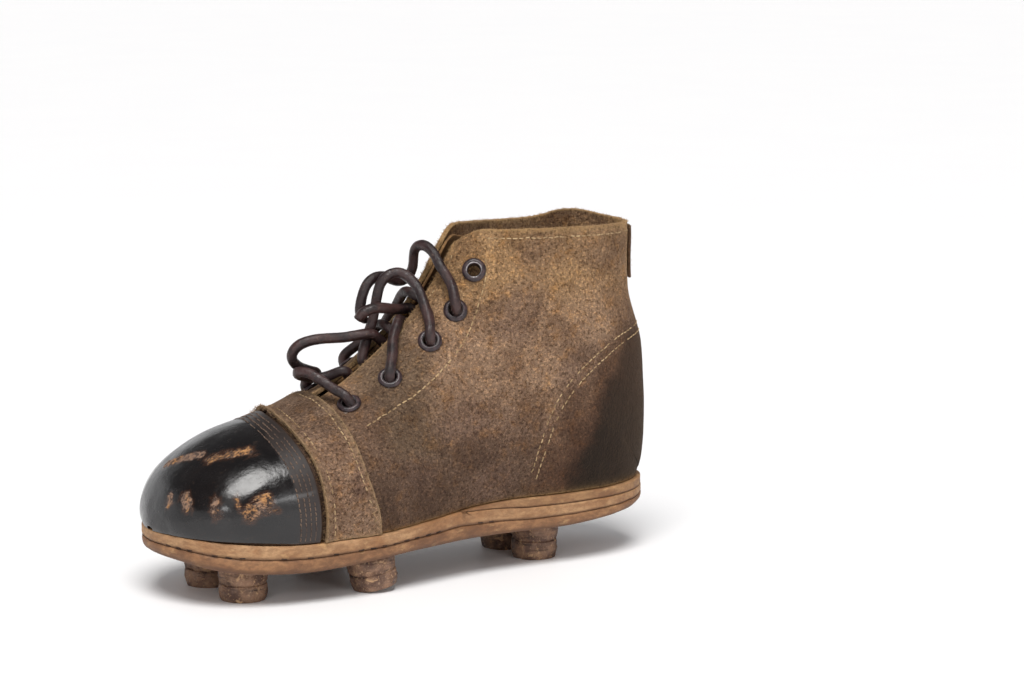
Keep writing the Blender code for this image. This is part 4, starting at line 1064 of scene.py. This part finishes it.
def leather(name, node, grid, low, high, skin, tint=None, rim=0.45, fray=0.12, body="boot",
            extra=None, normals=None):
    """A dense leather piece over a grid on the last, standing for a CAD node."""
    lift = relief(grid)
    points, faces, cut, outer = shell(grid, lift + low, lift + high, rim, fray, normals)
    marks = {"edge": cut}
    if tint is not None:
        marks["tint"] = tint(points)
    for label, maker in (extra or {}).items():
        marks[label] = maker(points)
    thing = make_object(name, points, faces, skin, body, marks)
    stand_for(thing, node)
    return thing, outer


def arch_grid(us, columns):
    grid = []
    for u in us:
        grid.append(np.concatenate([section_side(u, NEAR, columns), section_side(u, FAR, columns)[::-1][1:]]))
    return np.array(grid)


SCUFFS = (
    # from, to, half-width, strength
    ((-100.4, 10.0, 52.0), (-93.4, -7.4, 57.4), 2.3, 1.0),
    ((-92.6, -14.2, 57.6), (-79.6, -22.4, 60.6), 3.3, 0.78),
    ((-109.0, -9.6, 43.2), (-108.4, -10.4, 39.8), 2.3, 0.85),
    ((-105.9, -18.8, 44.0), (-105.3, -20.8, 41.4), 2.9, 0.9),
    ((-98.4, -31.0, 43.6), (-97.4, -31.8, 38.8), 3.0, 0.70),
    ((-91.6, -35.8, 45.6), (-90.8, -36.6, 41.0), 1.6, 0.72),
    ((-87.0, -37.9, 39.2), (-80.4, -39.4, 43.4), 3.5, 0.88),
    ((-80.6, -40.2, 40.2), (-76.4, -41.2, 39.6), 2.0, 0.66),
    ((-100.0, 22.0, 44.0), (-90.0, 31.0, 43.0), 2.8, 0.7),
    ((-86.0, 35.0, 38.0), (-76.0, 38.0, 40.0), 2.8, 0.6),
)


def scuff_marks(points):
    made = np.zeros(len(points))
    for start, end, half, strength in SCUFFS:
        start, end = np.array(start), np.array(end)
        way = end - start
        share = np.clip((points - start) @ way / (way @ way), 0, 1)
        away = np.linalg.norm(points - start - share[:, None] * way, axis=1) / half
        made = np.maximum(made, strength * np.exp(-0.62 * away ** 2))
    return made


def cap_end(side, share):
    return float(smooth(REAR_SHARES, CAP_REAR if side == NEAR else CAP_REAR_FAR, share))


def cap_grid(rows, columns):
    us = 0.02 + (CAP_END - 0.02) * np.linspace(0, 1, rows) ** 0.85
    grid = np.zeros((rows, 2 * columns - 1, 3))
    for c in range(columns):
        share = c / (columns - 1)
        for side in (NEAR, FAR):
            back = cap_end(side, share) - CAP_END
            for r, u in enumerate(us):
                place = c if side == NEAR else -1 - c
                grid[r, place] = section_point(round(u + back * (u / CAP_END) ** 3, 3), side, share)
    return grid


def make_cap():
    grid = cap_grid(96, 60)
    normals = level_near_sole(grid, grid_normals(grid))
    lids = []
    for angle in np.radians((90, 75, 60, 45, 30, 15)):
        turned = normals[0] * math.cos(angle) + np.array((-1.0, 0.0, 0.0)) * math.sin(angle)
        lids.append(turned / np.linalg.norm(turned, axis=1, keepdims=True))
    normals = np.concatenate([lids, normals])
    rear = grid[-1, :60]

    def sewn(points):
        edge_x = np.interp(points[:, 2], rear[:, 2], rear[:, 0])
        return ease(10.2, 9.0, edge_x - points[:, 0])

    full = np.concatenate([np.repeat(grid[:1], 6, axis=0), grid])
    cap, outer = leather("polished_toe_cap", "toe_cap", full, CAP_BASE, CAP_BASE + CAP_THICK, "cap",
                         rim=0.5, fray=0.05,
                         extra={"scuff": scuff_marks, "sewn": sewn}, normals=normals)
    tree = tree_of(cap)
    for k, distance in enumerate((2.2, 4.3, 6.4, 8.6)):
        stitch_row("cap_stitches_%d" % (k + 1), inset_row(outer, "last", distance, 0.015, 0.985), tree, "cap")
    paint(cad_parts["toe_puff"], "lining")


def paint(node, skin):
    for place in node.material_slots:
        place.material = SKINS[skin]


def make_vamp():
    us = np.linspace(VAMP_START, VAMP_END, 16)
    leather("vamp_leather", "vamp", arch_grid(us, 60), 0.0, LEATHER, "suede", suede_tint_and_fold_shade)


def make_strap():
    shares = np.linspace(0, 1, 26)
    half = 62
    grid = np.zeros((len(shares), 2 * half - 1, 3))
    for side in (NEAR, FAR):
        for c in range(half):
            up = c / (half - 1)
            start = cap_end(side, up) + STRAP_AHEAD
            end = float(smooth(STRAP_REAR_SHARES, STRAP_REAR, up))
            for r, share in enumerate(shares):
                place = c if side == NEAR else -1 - c
                grid[r, place] = section_point(round(start + (end - start) * share, 4), side, up)
    curl = STRAP_LIFT * np.clip(1 - shares / STRAP_LIFT_SPAN, 0, 1) ** 2
    low = np.repeat((CAP_BASE + curl)[:, None], grid.shape[1], axis=1)
    low += 0.25 * wave(grid, 9, 12) * np.clip(1 - shares / STRAP_LIFT_SPAN, 0, 1)[:, None]
    strap, outer = leather("suede_strap", "instep_strap", grid, low, low + STRAP_THICK, "strap",
                           strap_tint, fray=0.22)
    tree = tree_of(strap)
    for label, side, distance in (("front", "first", 3.9), ("rear", "last", 2.6)):
        path = inset_row(outer, side, distance, 0.02, 0.98)
        stitch_row("strap_stitches_" + label, path, tree, "strap")
    edge_fuzz("strap_fuzz", grid, outer, 2600, 1.3)


def collar_dip(v, side):
    corner = max(v - 0.86, 0.0) / 0.14
    lift = 0.0
    if side == FAR:
        lift = -0.9 * math.exp(-((v - 0.22) / 0.13) ** 2)
    return 1.5 * corner ** 2 + lift


QUARTER_ROWS = (5.465, 6.0, 6.5, 6.9, 7.3, 7.7, 8.1, 8.6, 9.1, 9.5, 9.85, 10.15, 10.4, 10.6, 10.76, 10.88,
                10.96, 11.0, 11.4, 11.9, 12.5, 13.1, 13.7, 14.3, 15.0)
SIDE_FINE = 64
THROAT_REACH = 20.5
THROAT_FINE = 18


def quarter_grid(side):
    """The CAD's quarter at about five times its density."""
    rows = refined(QUARTER_ROWS, 5)
    columns = SIDE_FINE + THROAT_FINE
    grid = np.zeros((len(rows), columns, 3))
    reach = np.linspace(THROAT_REACH, 0.0, THROAT_FINE)
    coarse = 14
    for c in range(columns):
        if c < SIDE_FINE:
            share = c / SIDE_FINE * 9 / (coarse - 1)
        else:
            share = (9 + 4 * (c - SIDE_FINE) / (THROAT_FINE - 1)) / (coarse - 1)
        top = COLLAR - collar_dip(share, side)
        for r, row in enumerate(rows):
            late = max(row - BACK_SEAM, 0.0) / (COLLAR - BACK_SEAM)
            u = round(row + (top - COLLAR) * late, 3)
            seam = 0.0 if u < BACK_SEAM else GAP / 2 + 0.05
            curve = section_curve(min(u, COLLAR), side)
            edge = arc_lengths(curve)[-1] - throat_half(min(u, COLLAR))
            inner = edge - THROAT_REACH
            length = seam + (inner - seam) * c / SIDE_FINE if c < SIDE_FINE else edge - reach[c - SIDE_FINE]
            point = along(curve, [length])[0]
            point[2] += max(u - COLLAR, 0.0) * 4.0
            grid[r, c] = point
    return grid


def eyelet_b(number, side):
    return side * (throat_half(EYELET_SECTIONS[number]) + EYELET_SET_BACKS[number])


def eyelet_matrix(number, side):
    point, normal = last_point(EYELET_SECTIONS[number], eyelet_b(number, side), LEATHER)
    lift = float(relief(point[None])[0])
    return frame_at(point + normal * lift, normal)


def punch(thing, side):
    """Cut the five eyelet holes through a leather piece."""
    work = bmesh.new()
    for number in range(len(EYELET_SECTIONS)):
        matrix = eyelet_matrix(number, side)
        matrix.translation -= Vector((CENTRE_X, 0, 0))
        matrix.translation *= MM
        bmesh.ops.create_cone(work, cap_ends=True, segments=40, radius1=PUNCH_R * MM, radius2=PUNCH_R * MM,
                              depth=PUNCH_DEPTH * MM, matrix=matrix)
    mesh = bpy.data.meshes.new("punch")
    work.to_mesh(mesh)
    work.free()
    tool = linked("punch", mesh)
    step = thing.modifiers.new("holes", "BOOLEAN")
    step.operation = "DIFFERENCE"
    step.solver = "EXACT"
    step.object = tool
    bpy.context.view_layer.update()
    made = bpy.data.meshes.new_from_object(thing.evaluated_get(bpy.context.evaluated_depsgraph_get()))
    thing.modifiers.clear()
    thing.data = made
    bpy.data.objects.remove(tool, do_unlink=True)


FACING_STITCHES = ((-31.2, 67.5), (-20.7, 71.9), (-5.1, 79.1), (9.3, 89.0), (20.0, 100.6), (25.7, 111.3),
                   (29.5, 122.0), (31.0, 130.0))


def side_path(pairs):
    """A smooth line through pairs of x and z, on the boot's middle plane."""
    path = np.array([(x, 0.0, z) for x, z in pairs])
    fine = np.linspace(0, 1, 80)
    arc = arc_lengths(path)
    arc /= arc[-1]
    return np.column_stack([smooth(arc, path[:, k], fine) for k in range(3)])


def project_sideways(path, tree, side):
    """A path moved straight out onto one side of the boot."""
    made = []
    for p in path:
        hit = tree.ray_cast(Vector((p[0], side * 90.0, p[2])), Vector((0, -side, 0)))
        if hit[0] is not None:
            made.append(np.array(hit[0]) + np.array((0, side * 1.0, 0)))
    return np.array(made)


def make_quarters():
    for side, label in ((NEAR, "near"), (FAR, "far")):
        grid = quarter_grid(side)
        quarter, outer = leather("suede_quarter_" + label, "quarter_" + label, grid, 0.0, LEATHER, "suede",
                                 suede_tint_and_fold_shade, fray=0.2)
        tree = tree_of(quarter)
        stitch_row("collar_stitches_" + label, inset_row(outer, "last", 3.6, 0.02, 0.9), tree, "collar")
        path = project_sideways(side_path(FACING_STITCHES), tree, side)
        stitch_row("facing_stitches_" + label, path, tree, "facing")
        stitch_row("throat_stitches_" + label, inset_row(outer, "right", 2.6, 0.12, 0.9), tree, "throat")
        line = list(zip(COUNTER_LINE_X[1:], COUNTER_LINE_Z[1:]))
        for k, shift in enumerate((0.0, 3.9)):
            pairs = [(x + 0.62 * shift, z - 0.78 * shift) for x, z in line]
            path = project_sideways(side_path(pairs), tree, side)
            stitch_row("counter_stitches_%s_%d" % (label, k + 1), path, tree, "counter")
        last_row, last_column = grid.shape[0] - 1, grid.shape[1] - 1

        def free(r, c):
            return r > 8 and (c == last_column or r == last_row)

        edge_fuzz("quarter_fuzz_" + label, grid, outer, 4200, 1.3, free)
        punch(quarter, side)
        facing, _ = leather("facing_lining_" + label, "facing_" + label, grid[6:116, SIDE_FINE - 1:],
                            -GAP - FACING_THICK, -GAP, "facing", rim=0.35, fray=0.12)
        punch(facing, side)


def make_eyelets():
    low = -(LEATHER + GAP + FACING_THICK)
    profile = [(2.62, low - 1.4), (2.6, -0.4), (2.62, 0.3), (2.75, 0.8), (3.0, 1.12), (3.35, 1.28),
               (3.75, 1.3), (4.2, 1.15), (4.6, 0.85), (4.9, 0.5), (5.0, 0.28), (4.9, 0.15), (4.6, 0.12),
               (3.3, 0.12), (3.3, low - 0.7), (4.3, low - 0.75), (4.5, low - 0.95), (4.3, low - 1.2),
               (3.6, low - 1.55), (3.0, low - 1.6)]
    for side, label in ((NEAR, "near"), (FAR, "far")):
        for number in range(len(EYELET_SECTIONS)):
            points, faces = lathe_points(profile, EYELET_SIDES)
            radius = np.hypot(points[:, 0], points[:, 1])
            worn = np.exp(-((radius - 3.05) / 0.42) ** 2) * (points[:, 2] > 0.5)
            worn = worn * (0.75 + 0.25 * wave(points, 3.0, 20 + number)) + 0.25 * (radius > 4.7)
            points[:, 2] += 0.10 * wave(points, 4.0, 30 + number)
            name = "eyelet_%s_%d" % (label, number + 1)
            placed = moved(points, eyelet_matrix(number, side))
            stand_for(make_object("worn_" + name, placed, faces, "eyelet", attributes={"worn": worn}), name)


def tongue_drop(u):
    t = float(ease(TONGUE_START, TONGUE_DROP, u))
    start = -GAP - TONGUE_THICK
    return start + (-TONGUE_DEPTH - start) * t


def make_tongue():
    us = np.linspace(TONGUE_START, TONGUE_END, 64)
    rows = []
    heights = []
    for u in us:
        tip = max(u - (TONGUE_END - 0.6), 0.0) / 0.6
        half = TONGUE_HALF * (0.8 + 0.2 * min((u - TONGUE_START) / 1.5, 1.0)) * (1 - 0.25 * tip ** 2)
        near = section_curve(u, NEAR)
        both = np.concatenate([near, section_curve(u, FAR)[::-1][1:]])
        ridge = arc_lengths(near)[-1]
        rows.append(along(both, np.linspace(ridge - half, ridge + half, 30)))
        heights.append([tongue_drop(u)] * 30)
    heights = np.array(heights)
    leather("tongue_leather", "tongue", np.array(rows), heights, heights + TONGUE_THICK, "facing",
            rim=0.4, fray=0.15, body="tongue")


# ------------------------------ heel pieces and insole
def last_tree():
    us = np.linspace(5.0, COLLAR, 160)
    grid = arch_grid(us, 60)
    count = grid.shape[1]
    faces = []
    for r in range(len(us) - 1):
        for c in range(count - 1):
            faces.append((r * count + c, r * count + c + 1, (r + 1) * count + c + 1, (r + 1) * count + c))
    return BVHTree.FromPolygons([Vector(p) for p in grid.reshape(-1, 3)], faces)


def make_heel(tree):
    low = float(sole_top(90.0)) + GAP + INSOLE_THICK + COUNTER_RISE
    angles = np.linspace(-COUNTER_ANGLES[-1], COUNTER_ANGLES[-1], 90)
    grid = np.zeros((30, len(angles), 3))
    for c, angle in enumerate(angles):
        a = math.radians(angle)
        way = Vector((math.cos(a), math.sin(a), 0.0))
        top = float(smooth(COUNTER_ANGLES, COUNTER_TOPS, abs(angle)))
        for r in range(30):
            z = low + (top - low) * r / 29
            grid[r, c] = tree.ray_cast(Vector((HEEL_AXIS_X, OFF_SEAM, z)), way)[0]
    top = -COUNTER_GAP - GAP - COUNTER_THICK
    leather("counter_pocket", "counter_lining", grid, top - COUNTER_THICK, top, "lining",
            rim=0.35)
    paint(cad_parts["heel_counter"], "lining")
    rows = []
    for z in np.linspace(STRIP_LOW, STRIP_HIGH, 22):
        rows.append([np.array(tree.ray_cast(Vector((HEEL_AXIS_X, y + OFF_SEAM, z)), Vector((1, 0, 0)))[0])
                     for y in np.linspace(-STRIP_HALF, STRIP_HALF, 16)])
    grid = np.array(rows)
    low = LEATHER + STRIP_STAND
    strip, outer = leather("suede_back_strip", "back_strip", grid, low, low + STRIP_THICK, "strip",
                           strip_tint, fray=0.15)
    tree = tree_of(strip)
    for side in ("left", "right"):
        stitch_row("back_stitches_" + side, inset_row(outer, side, 1.8), tree, "back")
    edge_fuzz("strip_fuzz", grid, outer, 220, 0.7)


def make_insole():
    rows = []
    toe = LAST[0][2] + 1.0
    heel = LAST[11][2] - 2.4
    for t in np.linspace(0.1, math.pi - 0.1, 90):
        x = toe + (heel - toe) * (1 - math.cos(t)) / 2
        near = max(float(feather_half(x, NEAR)) - 1.3, 0.6)
        far = max(float(feather_half(x, FAR)) - 1.3, 0.6)
        rows.append([(x, y, float(sole_top(x)) + GAP) for y in np.linspace(-near, far, 30)])
    grid = np.array(rows)
    x, y = grid[..., 0], grid[..., 1]
    dent = 0.12 * wave(grid, 9, 14) - 0.5 * np.exp(-((x - 80) / 22) ** 2 - (y / 14) ** 2)
    dent -= 0.4 * np.exp(-((x + 52) / 26) ** 2 - (y / 22) ** 2)
    up = np.zeros_like(grid)
    up[..., 2] = 1.0
    points, faces, cut, _ = shell(grid, 0.0, INSOLE_THICK + dent, 0.5, 0.1, up, floor=False)
    stand_for(make_object("worn_insole", points, faces, "insole", attributes={"edge": cut}), "insole")


# ------------------------------ sole
def outline(count=150):
    """The sole's edge: the near side from toe to heel, then the far side back, with outward normals."""
    t = (1 - np.cos(np.linspace(0, math.pi, count))) / 2
    x = SOLE_TOE + (SOLE_HEEL - SOLE_TOE) * t
    near = np.column_stack([x, -sole_half(x, NEAR)])
    far = np.column_stack([x, sole_half(x, FAR)])[::-1][1:-1]
    loop = np.concatenate([near, far])
    ahead = np.roll(loop, -1, axis=0) - np.roll(loop, 1, axis=0)
    ahead /= np.linalg.norm(ahead, axis=1, keepdims=True)
    return loop, np.column_stack([ahead[:, 1], -ahead[:, 0]])


def sole_piece(name, node, skin, start, inset, low, high, profile, seeds):
    """A layer of sole leather: rings down its cut edge, closed by a grid above and one below."""
    count = 150
    loop, out = outline(count)
    if start is not None:
        loop = np.column_stack([np.maximum(loop[:, 0], start), loop[:, 1]])
    n = len(loop)
    edge = np.column_stack([loop, np.zeros(n)])
    ragged = 0.30 * wave(edge, 13, seeds) + 0.16 * wave(edge, 3.5, seeds + 1)
    rings = []
    for depth, share in profile:
        flat = loop - out * (inset + depth + ragged * (1 if depth < 1.5 else 0))[:, None]
        if start is not None:
            flat[:, 0] = np.maximum(flat[:, 0], start)
        bottom, top = low(flat[:, 0]), high(flat[:, 0])
        z = bottom + (top - bottom) * share
        if 0.05 < share < 0.95:
            z = z + 0.10 * wave(np.column_stack([flat, z]), 5, seeds + 2)
        rings.append(np.column_stack([flat, z]))
    points = [p for ring in rings for p in ring]
    faces = tube_faces(0, len(rings), n)
    under = [1.0 - share if share < 0.25 else 0.0 for _, share in profile for _ in range(n)]
    across = 14
    for ring, surface, base in ((rings[0], high, 0), (rings[-1], low, (len(rings) - 1) * n)):
        rows = [[base] * (across + 1)]
        for i in range(1, count - 1):
            a, b = ring[i], ring[n - i]
            row = [base + i]
            for k in range(1, across):
                p = a + (b - a) * k / across
                p[2] = float(surface(p[0]))
                row.append(len(points))
                points.append(p)
                under.append(1.0 if surface is low else 0.0)
            rows.append(row + [base + n - i])
        rows.append([base + count - 1] * (across + 1))
        for r0, r1 in zip(rows, rows[1:]):
            for k in range(across):
                corners = list(dict.fromkeys((r0[k], r0[k + 1], r1[k + 1], r1[k])))
                if len(corners) > 2:
                    faces.append(tuple(corners))
    points = np.array(points)
    height = points[:, 2]
    joint = outsole_top(points[:, 0]) + GAP / 2
    front = ease(20, -5, points[:, 0]) * 0.7 + 0.3
    seam = np.exp(-((height - joint) / 0.55) ** 2) * front * (np.array(under) < 0.5)
    marks = {"under": np.array(under), "seam": seam}
    stand_for(make_object(name, points, faces, skin, attributes=marks), node)


def make_soles():
    flat_edge = [(3.0, 1.0), (1.2, 1.0), (0.35, 1.0), (0.08, 0.93), (0.0, 0.78), (0.05, 0.5), (0.0, 0.25),
                 (0.12, 0.08), (0.5, 0.0), (3.0, 0.0)]
    worn_edge = [(3.0, 1.0), (1.0, 1.0), (0.45, 0.98), (0.15, 0.9), (0.05, 0.75), (0.1, 0.55), (0.3, 0.38),
                 (0.75, 0.2), (1.3, 0.07), (2.0, 0.0), (4.0, 0.0)]
    sole_piece("worn_outsole", "outsole", "outsole", None, 0.0, sole_bottom, outsole_top, worn_edge, 40)
    sole_piece("worn_midsole", "midsole", "midsole", None, 0.1, lambda x: outsole_top(x) + 0.12, midsole_top,
               flat_edge, 45)
    sole_piece("worn_heel_wedge", "heel_wedge", "wedge", WEDGE_START - 5.5, 0.3,
               lambda x: midsole_top(x) + 0.15, sole_top, flat_edge, 50)
    loop, out = outline(400)
    z = outsole_top(loop[:, 0]) + 0.35
    path = np.column_stack([loop + out * 0.4, z])
    tree = tree_of(bpy.data.objects["worn_midsole"])
    keep = path[:, 0] < 30
    near = path[:400][keep[:400]]
    far = path[400:][keep[400:]]
    for label, part in (("near", near), ("far", far)):
        stitch_row("welt_stitches_" + label, part, tree, "welt")


def make_studs():
    for place, (label, x, y, tilt) in enumerate(STUDS):
        top = float(sole_bottom(x)) - GAP
        lean = math.radians(tilt)
        matrix = Matrix.Translation(Vector((x, y, top))) @ Matrix.Rotation(-lean, 4, "Y")
        height = (top - STUD_R_FOOT * math.sin(lean)) / math.cos(lean)
        seed = 60 + place
        middle = -height / 2
        for part, high, bottom in (("upper", 0.0, middle + 0.06), ("lower", middle - 0.06, -height)):
            profile = [(0, high), (4, high), (7.5, high)] if part == "lower" else [(0, high), (5, high)]
            for share in np.linspace(0, 1, 11):
                z = high + (bottom - high) * share
                r = STUD_R_TOP + (STUD_R_FOOT - STUD_R_TOP) * (z / -height)
                nip = 0.55 * (math.exp(-(share / 0.10) ** 2) + math.exp(-((share - 1) / 0.10) ** 2))
                profile.append((r - nip - 0.2 * abs(math.sin(share * math.pi * 2)), z))
            profile += [(r, bottom) for r in np.linspace(8.3, 0.6, 13)] + [(0, bottom)]
            points, faces = lathe_points(profile, STUD_SIDES)
            radius = np.hypot(points[:, 0], points[:, 1])
            rough = 0.40 * wave(points, 5.0, seed) + 0.22 * wave(points, 1.7, seed + 0.5)
            chipped = ease(0.30, 0.55, wave(points, 4.0, seed + 9))
            rough -= 0.9 * chipped * (np.abs(points[:, 2] - bottom) < 1.6)
            points[:, :2] *= (1 + rough * ease(6.5, 9.0, radius) / np.maximum(radius, 1.0))[:, None]
            if part == "lower":
                for k in range(3):
                    a = math.radians(90 + 120 * k)
                    nail = np.array((math.cos(a), math.sin(a))) * NAIL_CIRCLE
                    from_nail = np.linalg.norm(points[:, :2] - nail, axis=1)
                    foot = points[:, 2] < bottom + 0.01
                    points[:, 2] += np.where(foot & (from_nail < 2.3), 0.62 * ease(2.3, 1.7, from_nail), 0.0)
            placed = moved(points, matrix)
            if part == "upper":
                at_top = points[:, 2] > -0.01
                placed[at_top, 2] = sole_bottom(placed[at_top, 0]) - 0.1
            placed[:, 2] = np.maximum(placed[:, 2], 0.0)
            node = "stud_%s_%s" % (label, part)
            stand_for(make_object("worn_" + node, placed, faces, "stud"), node)
        for k in range(3):
            paint(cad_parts["nail_%s_%d" % (label, k + 1)], "nail")


# ------------------------------ lace
def on_last(steps):
    return [last_point(u, b, h)[0] for u, b, h in steps]


def through(number, side):
    """Two points, from under an eyelet to just outside it."""
    u = EYELET_SECTIONS[number]
    b = eyelet_b(number, side)
    return on_last([(u, b, UNDER), (u, b, OVER)])


def cross_throat(u, side):
    """Over the edge of one facing, down through the throat and under the other."""
    return [(u, side * 5.6, ON_EDGE), (u, side * 1.7, 3.9), (u, -side * 0.2, -0.2),
            (u, -side * 1.2, -4.5), (u, -side * 6.0, UNDER)]


def dive(number, side, cross):
    """From the outside of an eyelet through the throat at section cross to the other side."""
    u = EYELET_SECTIONS[number]
    start = (u + (cross - u) * 0.55, eyelet_b(number, side) * 0.70, ON_EDGE + 0.2)
    return on_last([start] + cross_throat(cross, side))


def near_strand():
    """From the lowest near eyelet to the end that hangs in the knot."""
    points = through(0, NEAR) + list(LOOP_A) + on_last(cross_throat(6.35, NEAR)[1:])
    points += through(1, FAR) + dive(1, FAR, 7.62)
    points += through(2, NEAR) + on_last([(8.39, -15.2, 5.6), (8.63, -10.5, 6.4)]) + list(FRONT_LOOP)
    points += on_last([(6.74, 0.6, 0.4), (6.76, 1.4, -3.8), (6.90, 5.5, UNDER), (7.4, 12.5, UNDER)])
    points += through(2, FAR) + dive(2, FAR, 8.86)
    points += through(3, NEAR) + on_last([(10.25, -13.2, 5.8), (10.87, -7.5, 7.4)]) + list(BACK_LOOP)
    return points


def far_strand():
    """From the lowest far eyelet to the frayed end over the throat."""
    points = through(0, FAR) + list(LOOP_B)
    points += on_last([(7.28, -0.2, 2.2), (7.35, -1.4, -3.4), (7.25, -6.5, UNDER)])
    points += through(1, NEAR) + on_last([(7.15, -15.0, 5.2), (7.39, -9.6, 5.2), (7.63, -6.4, 5.2),
                                          (7.80, -4.8, 4.7), (7.90, -2.0, 3.3), (7.95, -1.2, -0.8),
                                          (8.12, -0.2, -4.2), (8.36, 0.8, -3.6), (8.46, 1.4, -0.2)])
    return points + list(THONG_END)


def lace_route():
    """The lace is one piece: free end, far strand, bottom bar, near strand, free end."""
    u = EYELET_SECTIONS[0]
    bar = on_last([(u - 0.08, 8.0, UNDER), (u - 0.1, 0.0, UNDER), (u - 0.08, -8.0, UNDER)])
    return np.array(far_strand()[::-1] + bar + near_strand())


def spline(points, step):
    """A smooth centripetal curve through points, resampled at about step millimetres."""
    points = np.concatenate([[2 * points[0] - points[1]], points, [2 * points[-1] - points[-2]]])
    made = []
    for p0, p1, p2, p3 in zip(points, points[1:], points[2:], points[3:]):
        knots = np.cumsum([0.0] + [max(np.linalg.norm(b - a), 1e-6) ** 0.5
                                   for a, b in ((p0, p1), (p1, p2), (p2, p3))])
        for t in np.linspace(knots[1], knots[2], 12, endpoint=False):
            a1 = p0 + (p1 - p0) * (t - knots[0]) / (knots[1] - knots[0])
            a2 = p1 + (p2 - p1) * (t - knots[1]) / (knots[2] - knots[1])
            a3 = p2 + (p3 - p2) * (t - knots[2]) / (knots[3] - knots[2])
            b1 = a1 + (a2 - a1) * (t - knots[0]) / (knots[2] - knots[0])
            b2 = a2 + (a3 - a2) * (t - knots[1]) / (knots[3] - knots[1])
            made.append(b1 + (b2 - b1) * (t - knots[1]) / (knots[2] - knots[1]))
    made.append(points[-2])
    made = np.array(made)
    total = arc_lengths(made)[-1]
    return along(made, np.linspace(0, total, int(total / step) + 1))


def make_lace():
    path = spline(lace_route(), 1.1)
    for _ in range(6):
        path[1:-1] = (path[:-2] + 2 * path[1:-1] + path[2:]) / 4
    sides = LACE_SIDES
    ahead = np.gradient(path, axis=0)
    ahead /= np.linalg.norm(ahead, axis=1, keepdims=True)
    normal = np.cross(ahead[0], (0, 0, 1.0))
    arc = arc_lengths(path)
    points = []
    for i, (p, t) in enumerate(zip(path, ahead)):
        normal = normal - t * (normal @ t)
        normal /= np.linalg.norm(normal)
        beside = np.cross(t, normal)
        twist = 0.9 * math.sin(arc[i] / 31.0) + 0.5 * math.sin(arc[i] / 13.0 + 1.0)
        end = min(arc[i], arc[-1] - arc[i])
        taper = 0.80 + 0.20 * float(ease(0, 3, end))
        for k in range(sides):
            a = 2 * math.pi * k / sides
            c, s = math.cos(a), math.sin(a)
            square = (abs(c) ** LACE_SQUARE + abs(s) ** LACE_SQUARE) ** (-1 / LACE_SQUARE)
            r = (LACE_R - 0.08) * square * taper
            way = normal * math.cos(a + twist) + beside * math.sin(a + twist)
            points.append(p + way * r)
    points = np.array(points)
    swell = 1 + 0.045 * wave(points, 6, 70) + 0.03 * wave(points, 1.8, 71)
    centres = np.repeat(path, sides, axis=0)
    points = centres + (points - centres) * swell[:, None]
    faces = tube_faces(0, len(path), sides)
    faces.append(tuple(range(sides - 1, -1, -1)))
    faces.append(tuple(range((len(path) - 1) * sides, len(path) * sides)))
    lace = make_object("thong_lace", points, faces, "lace")
    stand_for(lace, "lace")


make_camera()
make_lace()
make_studio()
make_cap()
make_vamp()
make_strap()
make_quarters()
make_eyelets()
make_tongue()
make_heel(last_tree())
make_insole()
make_soles()
make_studs()

bpy.context.view_layer.update()
